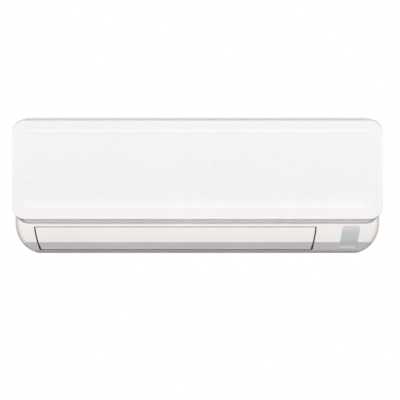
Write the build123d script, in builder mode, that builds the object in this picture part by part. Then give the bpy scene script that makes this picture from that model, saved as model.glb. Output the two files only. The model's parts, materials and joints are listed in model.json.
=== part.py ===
# Wall-mounted indoor unit of a mini split air conditioner, in millimetres.
# X runs along the unit, Y into the wall, Z up.  The origin is on the wall face, at the unit's centre.
from build123d import *
import math
import os

os.makedirs("parts", exist_ok=True)

# ---------------------------------------------------------------- driving sizes
unit_width = 798  # over the front panel
unit_height = 292
unit_depth = 230  # wall face to the front of the panel
wall = 2.5  # moulded shell
fit_gap = 0.4  # between pieces that sit side by side
running_gap = 0.08  # a pin in its hole
pin_room = 1  # left free past the end of a pin or shaft

# casing
casing_side_inset = 7  # the panel stands proud of the casing at each side
casing_rear_gap = 1.0  # the casing stops short of the wall
top_corner_radius = 30
low_corner_width = 58  # the low corners are quarter ellipses
low_corner_height = 66
low_corner_dip = 1  # their curve runs this far below the underside, so it meets it at an angle
edge_rounding = 13
shoulder_setback = 34  # panel's front to the shoulder behind its top edge
shoulder_drop = 28
seat_setback = 21  # panel's front to the seat behind it
seat_drop = 38
lip_setback = 8  # panel's front to the lip under it
lip_rise = 63  # underside to the lip
horn_rise = 88  # underside to where the lip's ends run out
kink_setback = 16.5  # crease along the lower front
kink_rise = 23.2
flap_foot_setback = 52
flap_foot_rise = 7.7
chin_run = 38  # curved chin from the flap's foot to the flat underside
brow_bulge = 0.9
pocket_radius = 28  # corners of the recess that the panel stands in
pocket_side_land = 2
pocket_foot_rounding = 8  # hollow curve where its floor meets the lip
seat_window_top_drop = 48
seat_window_foot_rise = 92
seat_window_rib = 16  # between the two filter windows
seat_window_centre = -46  # middle of that rib
seat_window_side = 6  # inside the duct's ends
seat_window_radius = 4
ear_radius = 7  # hinge ears for the panel
ear_thickness = 4
ear_gap = 1.6
screw_rise = 78
screw_radius = 2.0
screw_hole_gap = 0.2
screw_head_radius = 4.2
screw_head_height = 2.4
screw_length = 12
screw_xs = (-250, -46, 200)
knockout_height = 46  # pipe knock-outs low on both sides
knockout_depth = 60
knockout_groove = 0.8
knockout_line = 1.2
knockout_rise = 50  # unit bottom to the knock-out

# front panel
panel_top_gap = 4.7  # the casing shows this much above the panel
panel_foot_rise = 72.5  # underside to the panel's lower edge
panel_thickness = 16
panel_corner_radius = 28
panel_rear_gap = 1.2  # from the panel's back to the casing's lip ends
panel_border = 22.5
panel_border_drop = 1.1
panel_edge_rounding = 3.5
panel_hinge_setback = 24
panel_hinge_drop = 15
panel_arm_offset = 27  # from the panel's side to the arm
panel_arm_thickness = 4
panel_arm_radius = 6
panel_pin_radius = 3.0
panel_pin_length = 7
panel_rib_height = 6
panel_rib_thickness = 1.6
panel_rib_count = 5

# flap and its opening
flap_left_insets = (42.0, 46.4, 53.8)  # casing's side to the flap's: top, middle and foot
flap_right_insets = (137.1, 140.6, 146.4)
flap_top_rise = 55.4
flap_side_gap = 2.1
flap_top_gap = 1.2
flap_foot_gap = 1.7
flap_thickness = 2.8
flap_axis_setback = 47.5
flap_axis_rise = 23
flap_pin_radius = 2.5
flap_pin_length = 6
flap_boss_radius = 5
flap_arm_thickness = 3
flap_arm_heel = 8  # the arm's foot along the flap, towards the flap's foot
flap_arm_toe = 14
flap_support_x = -43
flap_corner_reach = 16.6  # room at the opening's low corners, round the flap's axis
flap_corner_room = 2.2

# air path
duct_left_inset = 58  # casing's side to the duct's
duct_right_inset = 149
cheek_left_width = 19
cheek_right_width = 14
cheek_inset = 5  # from the flap's inner side
cheek_groove_reach = 20  # room for the flap's foot around its axis
cheek_groove_floor = 1.4  # left of the cheek's width behind that room
fan_setback = 125  # panel's front to the fan's axis
fan_rise = 101
fan_radius = 47.5
fan_inner_radius = 35
fan_blades = 35
fan_blade_thickness = 1.3
fan_blade_bulge = 3.0
fan_segments = 10
fan_disc_thickness = 1.6
fan_hub_radius = 9
fan_hub_length = 14
fan_end_gap = 4
fan_shaft_radius = 4
scroll_start_angle = 50  # above the fan's axis, at the rear
scroll_end_angle = -70  # last of its points before the duct's floor
scroll_low_angle = -90  # where its gap to the fan is at its widest
scroll_steps = 4
scroll_heading = -39.7  # its direction at its upper end
scroll_start_gap = 6
scroll_end_gap = 15
floor_start_setback = 118  # where the scroll runs into the duct's floor
floor_start_rise = 36
floor_end_setback = 64.5
floor_end_rise = 9.7
duct_wall = 3
duct_height = 62.5
tongue_run = 13  # the duct's roof starts this far along from the floor's start
roof_run = 72.5  # and ends here

# vertical vanes
vane_count = 10
vane_thickness = 1.4
vane_rear, vane_front = 20, 15  # along the duct, from the pivot
vane_lift = 2  # above the floor
vane_height = 57
vane_rear_height = 30
vane_shoulder = 2
vane_pivot_run = 32  # along the floor from where it starts
vane_pin_radius = 2.0
vane_pin_length = 5.5
vane_drive_length = 8
vane_link_run = 14  # from the pivot to the link's pin
vane_link_pin_radius = 1.2
vane_link_pin_length = 3.8
vane_link_gap = 1.0
vane_link_width = 6
vane_link_thickness = 2.2
vane_motor_radius = 9.5
vane_motor_height = 10

# heat exchanger
coil_left_gap = 4  # duct's left side to the coil
coil_right_gap = 3
coil_thickness = 26
coil_lower_angle = 90
coil_lower_setback = 57  # panel's front to the lower block's inner face
coil_lower_rise = 88
coil_joint_gap = 2  # between the lower block and the upper one
coil_upper_setback = 58
coil_upper_drop = 96
coil_upper_angle = 40
coil_upper_length = 85
coil_rear_setback = 126
coil_rear_drop = 43
coil_rear_angle = -47.2
coil_rear_foot = 41.5  # wall face to the rear block's low inner corner
tube_radius = 3.5
tube_wall = 0.6
tube_pitch = 21
tube_row_gap = 13
tube_stub = 8
jumper_reach = 22
jumper_radius = 9
end_plate_thickness = 1.2
end_plate_rim = 2

# air filters
filter_thickness = 2.0
filter_setback = 26.4  # panel's front to the filter's rear side
filter_clearance = 8  # from the upper coil
filter_rise = 84
filter_slope_length = 90
filter_bend = 12
filter_bar = 7
filter_rib = 3
filter_columns = 3
filter_rows = 2
filter_mesh_thickness = 0.6
filter_mesh_grip = 3
filter_middle_gap = 4
filter_side = 2  # beyond the duct's ends
filter_grip_width = 40
filter_grip_height = 8
filter_grip_reach = 3

# inlet grille in the top
grille_left_inset = 40  # casing's side to the grille's
grille_right_inset = 130
grille_setback = 54  # panel's front to the grille's
grille_back = 26
grille_rows = 13
grille_columns = 12
grille_bar = 3.2
grille_rib = 3.0
grille_ledge = 3
grille_ledge_thickness = 1.6

# base frame and wall plate
base_depth = 16  # wall face to the front of the base's back plate
base_thickness = 3
channel_rise = 58  # underside to the roof of the pipe channel along the low rear edge
channel_depth = 58
channel_foot_rise = 3
end_wall_above = 55  # fan's axis to the end walls' top
end_wall_setback = 81
gutter_steps = ((27, -1.5), (1.5, -11.5), (-22.5, -11.5), (-24.5, 0.5))  # from the rear coil's low corner
gutter_wall = 2.4
plate_width = 540
plate_drop, plate_rise = 16, 66
plate_thickness = 1.2
plate_corner_radius = 12
plate_hole_radius = 3.0
plate_hole_span = 450
plate_hole_rise = 120
plate_hole_drop = 106  # casing's top to the middle of the plate's screw holes
hook_xs = (-220, -80, 80, 220)
hook_width = 30
hook_drop = 46
hook_reach = 19
hook_upturn = 7
hook_gap = 0.3
hook_slot_drop = 10

# drain pan
pan_wall = 2
pan_front_setback = 27
pan_front_rise = 94
pan_rear_setback = 59
pan_rear_rise = 96
pan_rest_xs = (-280, -130, 40, 200)
pan_rest_width = 5
pan_tab_width = 24
pan_tab_height = 2.4
pan_boss_radius = 5
spout_radius = 8
spout_wall = 1.5
spout_length = 18
spout_flange = 11
spout_flange_thickness = 1.6

# fan bearing, motor and its bracket
bearing_radius = 11
bearing_length = 8
bearing_holder_radius = 16
motor_radius = 43
motor_gap = 9  # duct's right side to the motor
motor_length = 60
motor_end_radius = 24
motor_end_length = 6
motor_bore_depth = 12
bracket_offset = 12  # motor's end to its bracket
bracket_span = 34
bracket_plate = 3
bracket_rim = 9

# pipes
liquid_radius = 3.175
gas_radius = 4.76
pipe_wall = 0.8
pipe_drop_offset = 29  # duct's right side to the first pipe's drop
pipe_spacing = 15
pipe_line_depth = 34
liquid_rise, gas_rise = 40, 21
liquid_end, gas_end = -190, -150
pipe_bend = 16
liquid_thread_radius = 5.56  # flare unions of 7/16 and 5/8 inch
gas_thread_radius = 7.94
union_length = 26
union_nut_rim = 2.2
clamp_x = 20
clamp_width = 12
clamp_margin = 4

# electrics
box_left_inset, box_right_inset = 70, 8
box_setback = 35  # panel's front to the box's
box_rear = 60
box_rise, box_drop = 106, 34
box_wall = 2
board_depth = 120
board_thickness = 1.6
board_margin = 3
board_components = (  # place along and up the board, then width, depth and height
    ((6, 104), (34, 28, 30)),
    ((8, 76), (20, 16, 16)),
    ((34, 78), (14, 24, 14)),
    ((8, 44), (16, 12, 22)),
    ((30, 40), (22, 8, 6)),
    ((8, 14), (44, 9, 8)),
)
terminal_width, terminal_height, terminal_depth = 44, 18, 20
terminal_drop = 126
terminal_count = 4
cover_left_inset, cover_right_inset = 112, 18
cover_top_drop, cover_foot_drop = 66, 140
cover_thickness = 2
cover_gap = 0.3
cover_lip = 4
button_inset = 40
button_rise = 120
button_radius = 5
button_gap = 0.3
button_proud = 2
button_flange = 1.6
button_flange_thickness = 1.4
button_travel = 1.5
button_flange_gap = 0.375
switch_size = 6
switch_height = 4
flap_motor_radius = 9
flap_motor_length = 15
flap_drive_length = 4

# display in the casing's right end
window_top_insets = (76.5, 41.5)  # casing's side to the window's left and right
window_foot_insets = (87.0, 51.0)
window_top_rise = 58.0
window_foot_rise = 9.4
window_rounding = 2.5
window_thickness = 2.0
window_land = 1.6  # the casing's step that the window rests on
holder_setback = 54
holder_margin = 2.5
display_board_gap = 0.3

# ---------------------------------------------------------------- places worked out from the sizes
top_z = unit_height / 2
bottom_z = -unit_height / 2
panel_half = unit_width / 2
casing_half = panel_half - casing_side_inset

# depths from the wall face
shoulder_depth = unit_depth - shoulder_setback
seat_depth = unit_depth - seat_setback
lip_depth = unit_depth - lip_setback
kink_depth = unit_depth - kink_setback
flap_foot_depth = unit_depth - flap_foot_setback
filter_depth = unit_depth - filter_setback
pan_front_depth = unit_depth - pan_front_setback
pan_rear_depth = unit_depth - pan_rear_setback
end_wall_front = unit_depth - end_wall_setback
grille_front = unit_depth - grille_setback
holder_depth = unit_depth - holder_setback
box_front = unit_depth - box_setback

# heights
lip_z = bottom_z + lip_rise
horn_z = bottom_z + horn_rise
kink_z = bottom_z + kink_rise
flap_foot_z = bottom_z + flap_foot_rise
flap_top_z = bottom_z + flap_top_rise
panel_top_z = top_z - panel_top_gap
panel_bottom_z = bottom_z + panel_foot_rise
panel_height = panel_top_z - panel_bottom_z
panel_middle_z = (panel_top_z + panel_bottom_z) / 2
hinge_y, hinge_z = panel_hinge_setback - unit_depth, top_z - panel_hinge_drop
flap_y, flap_z = flap_axis_setback - unit_depth, bottom_z + flap_axis_rise
fan_y, fan_z = fan_setback - unit_depth, bottom_z + fan_rise
seat_top_z = top_z - seat_drop
seat_back_y = -seat_depth + wall
filter_foot = bottom_z + filter_rise
pan_front_top = bottom_z + pan_front_rise
pan_rear_top = bottom_z + pan_rear_rise
channel_z = bottom_z + channel_rise
channel_foot = bottom_z + channel_foot_rise
end_wall_top = fan_z + end_wall_above
plate_top, plate_foot = top_z - plate_drop, bottom_z + plate_rise
hook_z = top_z - hook_drop
liquid_z, gas_z = bottom_z + liquid_rise, bottom_z + gas_rise
box_foot, box_top = bottom_z + box_rise, top_z - box_drop
terminal_foot = top_z - terminal_drop
cover_z = (top_z - cover_foot_drop, top_z - cover_top_drop)
button_z = bottom_z + button_rise
screw_z = bottom_z + screw_rise
window_z = (bottom_z + seat_window_foot_rise, top_z - seat_window_top_drop)

# places along the unit
duct_left = casing_half - duct_left_inset
duct_right = casing_half - duct_right_inset
cheek_left = duct_left + cheek_left_width
cheek_right = duct_right + cheek_right_width
coil_left = duct_left - coil_left_gap
coil_right = duct_right - coil_right_gap
motor_start = duct_right + motor_gap
bracket_start = motor_start + bracket_offset
pipe_drop_x = duct_right + pipe_drop_offset
box_left, box_right = casing_half - box_left_inset, casing_half - box_right_inset
cover_left, cover_right = casing_half - cover_left_inset, casing_half - cover_right_inset
button_x = casing_half - button_inset
grille_left = casing_half - grille_left_inset
grille_right = casing_half - grille_right_inset
window_spans = (
    (-duct_left + seat_window_side, seat_window_centre - seat_window_rib / 2),
    (seat_window_centre + seat_window_rib / 2, duct_right - seat_window_side),
)
arm_x = panel_half - panel_arm_offset  # outer side of the panel's arm
ear_x = arm_x + ear_gap  # inner side of the casing's ear
grille_low = (-grille_left, -grille_front)
grille_high = (grille_right, -grille_back)

# coil blocks: inner corner (y, z), direction in degrees, length
coil_lower_y, coil_lower_z = coil_lower_setback - unit_depth, bottom_z + coil_lower_rise
coil_upper_y, coil_upper_z = coil_upper_setback - unit_depth, top_z - coil_upper_drop
coil_rear_y, coil_rear_z = coil_rear_setback - unit_depth, top_z - coil_rear_drop
coil_rear_slope = math.radians(coil_rear_angle)
coil_rear_length = (-coil_rear_foot - coil_rear_y) / math.cos(coil_rear_slope)
coil_rear_foot_z = coil_rear_z + coil_rear_length * math.sin(coil_rear_slope)
coil_lower = (
    (coil_lower_y, coil_lower_z),
    coil_lower_angle,
    coil_upper_z - coil_joint_gap - coil_lower_z,
)
coil_upper = ((coil_upper_y, coil_upper_z), coil_upper_angle, coil_upper_length)
coil_rear = ((coil_rear_y, coil_rear_z), coil_rear_angle, coil_rear_length)
gutter = [(dy - coil_rear_foot, coil_rear_foot_z + dz) for dy, dz in gutter_steps]

# the duct's floor
floor_start = (floor_start_setback - unit_depth, bottom_z + floor_start_rise)
floor_end = (floor_end_setback - unit_depth, bottom_z + floor_end_rise)
duct_length = math.dist(floor_start, floor_end)
duct_dir = tuple((b - a) / duct_length for a, b in zip(floor_start, floor_end))
duct_up = (duct_dir[1], -duct_dir[0])
vane_pitch = (duct_left + duct_right) / vane_count
vane_xs = [-duct_left + vane_pitch * (i + 0.5) for i in range(vane_count)]
fan_left = -duct_left + fan_end_gap
fan_right = duct_right - fan_end_gap - duct_wall / 2


def duct_point(run, height):
    """(y, z) of a place along the duct's floor and above it."""
    return tuple(
        start + run * along + height * up
        for start, along, up in zip(floor_start, duct_dir, duct_up)
    )


def write_part(builder, label):
    builder.part.label = label
    export_step(builder.part, f"parts/{label}.step")


def span_box(low, high, mode=Mode.ADD):
    """A box between two corners, in the part being built."""
    middle = tuple((a + b) / 2 for a, b in zip(low, high))
    with Locations(middle):
        Box(*[abs(b - a) for a, b in zip(low, high)], mode=mode)


def across(x):
    """The side-view plane at x: its own x is the part's Y, its own y is Z."""
    return Plane.YZ.offset(x)


# ---------------------------------------------------------------- casing shapes
def side_face(step_z, rear_y):
    """Side view of the casing: the recess behind the panel ends at step_z, the back is at rear_y."""
    with BuildSketch(Plane.YZ) as face:
        with BuildLine():
            upper = [
                (rear_y, top_z),
                (-shoulder_depth, top_z),
                (-shoulder_depth, top_z - shoulder_drop),
                (-seat_depth, seat_top_z),
                (-seat_depth, step_z),
                (-lip_depth, step_z),
            ]
            if step_z > lip_z:
                upper.append((-lip_depth, lip_z))
            Polyline(*upper)
            brow_middle = (
                -(lip_depth + kink_depth) / 2 - brow_bulge,
                (lip_z + kink_z) / 2,
            )
            ThreePointArc((-lip_depth, lip_z), brow_middle, (-kink_depth, kink_z))
            Line((-kink_depth, kink_z), (-flap_foot_depth, flap_foot_z))
            chin_end = (-flap_foot_depth + chin_run, bottom_z)
            TangentArc(chin_end, (-flap_foot_depth, flap_foot_z), tangent=(-1, 0))
            Polyline(chin_end, (rear_y, bottom_z), (rear_y, top_z))
        make_face()
    return face.sketch_local


def front_face(inset, dip=0):
    """Front view of the casing inset from its outer outline, its low corners' curve dip too deep."""
    half, top, bottom = casing_half - inset, top_z - inset, bottom_z + inset - dip
    upper = top_corner_radius - inset
    wide, high = low_corner_width - inset, low_corner_height - inset + dip
    with BuildSketch(Plane.XZ) as face:
        with BuildLine():
            Line((half, bottom + high), (half, top - upper))
            CenterArc((half - upper, top - upper), upper, 0, 90)
            Line((half - upper, top), (0, top))
            EllipticalCenterArc(
                (half - wide, bottom + high), wide, high, start_angle=270, arc_size=90
            )
            Line((0, bottom), (half - wide, bottom))
            mirror(about=Plane.YZ)
        make_face()
    return face.sketch_local


def low_corner_edges(block, upper_z):
    """The edges that run round the casing's low front corners, below upper_z."""
    start_x = casing_half - low_corner_width
    return [
        edge
        for edge in block.edges()
        if abs(edge.center().X) > start_x
        and edge.center().Z < upper_z
        and edge.center().Y < -seat_depth / 3
        and abs(edge.center().Y + seat_depth / 2) > 1
        and abs((edge @ 1 - edge @ 0).Y) < edge.length - 1
    ]


def casing_block(inset, step_z):
    """The casing's outer body, or the body that lies inset below its skin."""
    rear_y = wall + casing_rear_gap if inset else -casing_rear_gap
    profile = side_face(step_z, rear_y + inset)
    outline = front_face(inset, low_corner_dip)
    with BuildPart() as block:
        with BuildSketch(Plane.YZ):
            add(profile)
            if inset:
                offset(amount=-inset, mode=Mode.REPLACE, kind=Kind.INTERSECTION)
        extrude(amount=casing_half, both=True)
        with BuildSketch(Plane.XZ.offset(-rear_y - inset)):
            add(outline)
        extrude(amount=unit_depth + 2 * wall, mode=Mode.INTERSECT)
        rounded = low_corner_edges(block, step_z - wall)
        fillet(rounded, edge_rounding - inset)
    return block.part


def flap_outline(side_gap, top_gap, foot_gap):
    """Front view of the flap, or of its opening when there are gaps round it."""
    heights = (flap_top_z + top_gap, (flap_top_z + flap_foot_z) / 2, flap_foot_z - foot_gap)
    left = [
        (inset - casing_half - side_gap, z) for inset, z in zip(flap_left_insets, heights)
    ]
    right = [
        (casing_half - inset + side_gap, z) for inset, z in zip(flap_right_insets, heights)
    ]
    right.reverse()
    with BuildSketch(Plane.XZ) as outline:
        with BuildLine():
            ThreePointArc(*left)
            Line(left[2], right[0])
            ThreePointArc(*right)
            Line(right[2], left[0])
        make_face()
    return outline.sketch_local


def window_outline(inset):
    """Front view of the display window, drawn inset from its opening."""
    top, foot = bottom_z + window_top_rise - inset, bottom_z + window_foot_rise + inset
    top_left, top_right = (casing_half - side for side in window_top_insets)
    foot_left, foot_right = (casing_half - side for side in window_foot_insets)
    with BuildSketch(Plane.XZ) as outline:
        Polygon(
            (foot_left + inset, foot),
            (foot_right - inset, foot),
            (top_right - inset, top),
            (top_left + inset, top),
            align=None,
        )
        fillet(outline.vertices(), window_rounding)
    return outline.sketch_local


def panel_outline(inset):
    """Front view of the panel, drawn inset from its edge."""
    radius = max(panel_corner_radius - inset, panel_edge_rounding)
    with BuildSketch(Plane.XZ) as outline:
        with Locations((0, panel_middle_z)):
            RectangleRounded(unit_width - 2 * inset, panel_height - 2 * inset, radius)
    return outline.sketch_local


def front_prism(outline):
    """A front-view outline carried forward through the casing's lower front."""
    with BuildPart() as prism:
        with BuildSketch(Plane.XZ.offset(flap_foot_depth - chin_run)):
            add(outline)
        extrude(amount=unit_depth)
    return prism.part


outer_body = casing_block(0, horn_z)
inner_body = casing_block(wall, lip_z)
window_bed = casing_block(window_thickness, lip_z)
flap_bed = casing_block(flap_thickness, lip_z)
flap_opening = front_prism(flap_outline(flap_side_gap, flap_top_gap, flap_foot_gap))
flap_prism = front_prism(flap_outline(0, 0, 0))
window_pocket = front_prism(window_outline(0))
window_hole = front_prism(window_outline(window_land))
window_prism = front_prism(window_outline(fit_gap / 2))

# ---------------------------------------------------------------- front casing
pocket_half = casing_half - pocket_side_land
pocket_top_z = top_z + pocket_radius
knock_z = bottom_z + knockout_rise

with BuildPart() as pocket_step:
    add(window_pocket)
    add(window_bed, mode=Mode.SUBTRACT)

# room for the flap's low corners as they swing past the opening's
corner_half = casing_half - flap_left_insets[2] + flap_side_gap + flap_corner_room
corner_right = casing_half - flap_right_insets[2] + flap_side_gap + flap_corner_room
with BuildPart() as flap_corner_path:
    with BuildSketch(across(-corner_half)):
        with Locations((flap_y, flap_z)):
            Circle(flap_corner_reach)
    extrude(amount=corner_half + corner_right)

# recess that the panel stands in, its floor rounded into the lip
with BuildPart() as panel_pocket:
    with BuildSketch(Plane.XZ.offset(seat_depth)):
        with Locations((0, (pocket_top_z + lip_z) / 2)):
            RectangleRounded(2 * pocket_half, pocket_top_z - lip_z, pocket_radius)
    extrude(amount=unit_depth)
    fillet(panel_pocket.edges().group_by(Axis.Y)[-1], pocket_foot_rounding)

with BuildPart() as front_casing:
    add(outer_body)
    add(panel_pocket.part, mode=Mode.SUBTRACT)
    # the ends of the lip are cut back behind the panel's corners
    with BuildSketch(Plane.XZ.offset(unit_depth - panel_thickness - panel_rear_gap)):
        add(panel_outline(-panel_rear_gap))
    extrude(amount=unit_depth, mode=Mode.SUBTRACT)
    add(inner_body, mode=Mode.SUBTRACT)
    # ledge under the inlet grille, then the grille's opening
    span_box(
        (
            grille_low[0] - grille_ledge,
            grille_low[1] - grille_ledge,
            top_z - wall - grille_ledge_thickness,
        ),
        (grille_high[0] + grille_ledge, grille_high[1] + grille_ledge, top_z - wall),
    )
    span_box((*grille_low, top_z - wall), (*grille_high, top_z + wall), Mode.SUBTRACT)
    span_box(
        (
            grille_low[0] + grille_ledge,
            grille_low[1] + grille_ledge,
            top_z - wall - 2 * grille_ledge_thickness,
        ),
        (grille_high[0] - grille_ledge, grille_high[1] - grille_ledge, top_z),
        Mode.SUBTRACT,
    )
    # openings in the seat: two filters, the terminal cover, screws and the button
    with BuildSketch(Plane.XZ.offset(seat_depth - 2 * wall)):
        for low_x, high_x in window_spans:
            with Locations(((low_x + high_x) / 2, sum(window_z) / 2)):
                RectangleRounded(
                    high_x - low_x, window_z[1] - window_z[0], seat_window_radius
                )
        with Locations(((cover_left + cover_right) / 2, sum(cover_z) / 2)):
            RectangleRounded(
                cover_right - cover_left, cover_z[1] - cover_z[0], seat_window_radius
            )
        with Locations((button_x, button_z)):
            Circle(button_radius + button_gap)
        with Locations(*[(x, screw_z) for x in screw_xs]):
            Circle(screw_radius + screw_hole_gap)
    extrude(amount=3 * wall, mode=Mode.SUBTRACT)
    # flap opening and display window, with the step that the window rests on
    add(flap_opening, mode=Mode.SUBTRACT)
    add(flap_corner_path.part, mode=Mode.SUBTRACT)
    add(pocket_step.part, mode=Mode.SUBTRACT)
    add(window_hole, mode=Mode.SUBTRACT)
    # ears for the panel's hinge pins
    for side in (-1, 1):
        with BuildSketch(across(side * ear_x)):
            with Locations((hinge_y, hinge_z)):
                Circle(ear_radius)
            ear_back = -shoulder_depth + wall
            with Locations(((hinge_y + ear_back) / 2, hinge_z)):
                Rectangle(ear_back - hinge_y, 2 * ear_radius)
            with Locations((hinge_y, hinge_z)):
                Circle(panel_pin_radius + running_gap, mode=Mode.SUBTRACT)
        extrude(amount=side * ear_thickness)
    # pipe knock-outs low on both sides
    for side in (-1, 1):
        for grow, mode in ((0, Mode.SUBTRACT), (-knockout_line, Mode.ADD)):
            span_box(
                (
                    side * (casing_half - knockout_groove),
                    -knockout_depth - grow,
                    knock_z - grow,
                ),
                (
                    side * casing_half,
                    -base_depth / 2 + grow,
                    knock_z + knockout_height + grow,
                ),
                mode,
            )
write_part(front_casing, "front_casing")

# ---------------------------------------------------------------- inlet grille
grille_width = grille_high[0] - grille_low[0] - 2 * fit_gap
grille_run = grille_high[1] - grille_low[1] - 2 * fit_gap
slot_pitch_x = (grille_width - grille_rib) / grille_columns
slot_pitch_y = (grille_run - grille_bar) / grille_rows
grille_middle = tuple((a + b) / 2 for a, b in zip(grille_low, grille_high))

with BuildPart() as inlet_grille:
    with BuildSketch(Plane.XY.offset(top_z - wall)):
        with Locations(grille_middle):
            Rectangle(grille_width, grille_run)
            with GridLocations(slot_pitch_x, slot_pitch_y, grille_columns, grille_rows):
                Rectangle(
                    slot_pitch_x - grille_rib,
                    slot_pitch_y - grille_bar,
                    mode=Mode.SUBTRACT,
                )
    extrude(amount=wall)
write_part(inlet_grille, "inlet_grille")

# ---------------------------------------------------------------- front panel
border_front = unit_depth - panel_border_drop


panel_full, panel_face = panel_outline(0), panel_outline(panel_border)
panel_hollow = panel_outline(wall)

with BuildPart() as front_panel:
    with BuildSketch(Plane.XZ.offset(unit_depth - panel_thickness)):
        add(panel_full)
    extrude(amount=panel_thickness - panel_border_drop)
    rim = front_panel.edges().group_by(Axis.Y)[0]
    fillet(rim, panel_edge_rounding)
    # the flat middle stands a little proud of the border
    with BuildSketch(Plane.XZ.offset(border_front)):
        add(panel_outline(panel_edge_rounding))
    with BuildSketch(Plane.XZ.offset(unit_depth)):
        add(panel_face)
    loft()
    with BuildSketch(Plane.XZ.offset(unit_depth - panel_thickness)):
        add(panel_hollow)
    extrude(
        amount=panel_thickness - panel_border_drop - wall, mode=Mode.SUBTRACT
    )
    # stiffening ribs inside
    rib_front = -border_front + wall
    for i in range(panel_rib_count):
        rib_z = panel_bottom_z + panel_height * (i + 1) / (panel_rib_count + 1)
        span_box(
            (-panel_half + 2 * wall, rib_front, rib_z - panel_rib_thickness / 2),
            (
                panel_half - 2 * wall,
                rib_front + panel_rib_height,
                rib_z + panel_rib_thickness / 2,
            ),
        )
    # hinge arms and their pins
    for side in (-1, 1):
        with BuildSketch(across(side * arm_x)):
            with Locations((hinge_y, hinge_z)):
                Circle(panel_arm_radius)
            with Locations(((hinge_y + rib_front) / 2, hinge_z)):
                Rectangle(hinge_y - rib_front, 2 * panel_arm_radius)
        extrude(amount=-side * panel_arm_thickness)
        with BuildSketch(across(side * arm_x)):
            with Locations((hinge_y, hinge_z)):
                Circle(panel_pin_radius)
        extrude(amount=side * panel_pin_length)
write_part(front_panel, "front_panel")

# ---------------------------------------------------------------- flap
skin_dir = Vector(
    -kink_depth + flap_foot_depth, kink_z - flap_foot_z
).normalized()  # up the flap's lower face
skin_out = Vector(-skin_dir.Y, skin_dir.X)
skin_out = skin_out if skin_out.X < 0 else -skin_out
axis_to_skin = (Vector(-flap_foot_depth, flap_foot_z) - Vector(flap_y, flap_z)).dot(
    skin_out
)


def flap_arm_outline():
    """Side view of an arm that joins the flap to its axis."""
    axis = Vector(flap_y, flap_z)
    foot = axis + skin_out * (axis_to_skin - flap_thickness / 2)
    with BuildSketch(Plane.YZ) as outline:
        with Locations((flap_y, flap_z)):
            Circle(flap_boss_radius)
        corners = [
            axis + skin_dir * flap_boss_radius,
            axis - skin_dir * flap_boss_radius,
            foot - skin_dir * flap_arm_heel,
            foot + skin_dir * flap_arm_toe,
        ]
        Polygon(*[(c.X, c.Y) for c in corners], align=None)
    return outline.sketch_local


flap_arm = flap_arm_outline()
# x where each arm starts, the way it grows and the length of its pin
flap_arms = (
    (-duct_left + fit_gap, 1, flap_pin_length + fit_gap),
    (duct_right - fit_gap, -1, cheek_right - duct_right + flap_drive_length + fit_gap),
    (flap_support_x - fit_gap, -1, flap_arm_thickness + fit_gap),
)

with BuildPart() as flap:
    add(outer_body)
    add(flap_bed, mode=Mode.SUBTRACT)
    add(flap_prism, mode=Mode.INTERSECT)
    for start_x, grow, pin in flap_arms:
        with BuildSketch(across(start_x)):
            add(flap_arm)
        extrude(amount=grow * flap_arm_thickness)
        with BuildSketch(across(start_x)):
            with Locations((flap_y, flap_z)):
                Circle(flap_pin_radius)
        extrude(amount=-grow * pin)
write_part(flap, "flap")

# ---------------------------------------------------------------- display window, its holder and board
window_edge = front_prism(window_outline(-holder_margin))

with BuildPart() as display_window:
    add(window_prism)
    add(outer_body, mode=Mode.INTERSECT)
    add(window_bed, mode=Mode.SUBTRACT)
write_part(display_window, "display_window")

with BuildPart() as display_holder:
    add(window_edge)
    add(inner_body, mode=Mode.INTERSECT)
    with BuildSketch(Plane.XZ.offset(holder_depth)):
        Rectangle(unit_width, unit_height)
    extrude(amount=-holder_depth, mode=Mode.SUBTRACT)
    add(window_hole, mode=Mode.SUBTRACT)
write_part(display_holder, "display_holder")

with BuildPart() as display_board:
    with BuildSketch(Plane.XZ.offset(holder_depth + wall)):
        add(window_outline(window_land + display_board_gap))
    extrude(amount=board_thickness)
write_part(display_board, "display_board")


# ---------------------------------------------------------------- outlet cheeks
def outlet_cheek(inner_x, outer_x, hole_depth):
    """A block that closes one side of the outlet, between the duct's floor and roof."""
    grow = math.copysign(1, outer_x - inner_x)
    with BuildPart() as cheek:
        with BuildSketch(across(inner_x)):
            add(side_face(lip_z, 0))
            offset(
                amount=-flap_thickness - cheek_inset,
                mode=Mode.REPLACE,
                kind=Kind.INTERSECTION,
            )
            Polygon(
                duct_point(0, 0),
                duct_point(2 * duct_length, 0),
                duct_point(2 * duct_length, duct_height),
                duct_point(0, duct_height),
                align=None,
                mode=Mode.INTERSECT,
            )
            with Locations((-end_wall_front + unit_depth / 2, 0)):
                Rectangle(unit_depth, unit_height, mode=Mode.SUBTRACT)
        extrude(amount=outer_x - inner_x)
        # room for the flap's foot to swing round its axis
        with BuildSketch(across(inner_x)):
            with Locations((flap_y, flap_z)):
                Circle(cheek_groove_reach)
                Circle(flap_axis_boss, mode=Mode.SUBTRACT)
        extrude(amount=grow * cheek_groove_depth, mode=Mode.SUBTRACT)
        with BuildSketch(across(inner_x)):
            with Locations((flap_y, flap_z)):
                Circle(flap_pin_radius + running_gap)
        extrude(amount=grow * hole_depth, mode=Mode.SUBTRACT)
    return cheek


flap_axis_boss = axis_to_skin - flap_thickness - fit_gap
cheek_groove_depth = cheek_right_width - cheek_groove_floor
outlet_cheek_left = outlet_cheek(-duct_left, -cheek_left, flap_pin_length + pin_room)
outlet_cheek_right = outlet_cheek(duct_right, cheek_right, cheek_right - duct_right)
write_part(outlet_cheek_left, "outlet_cheek_left")
write_part(outlet_cheek_right, "outlet_cheek_right")

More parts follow.
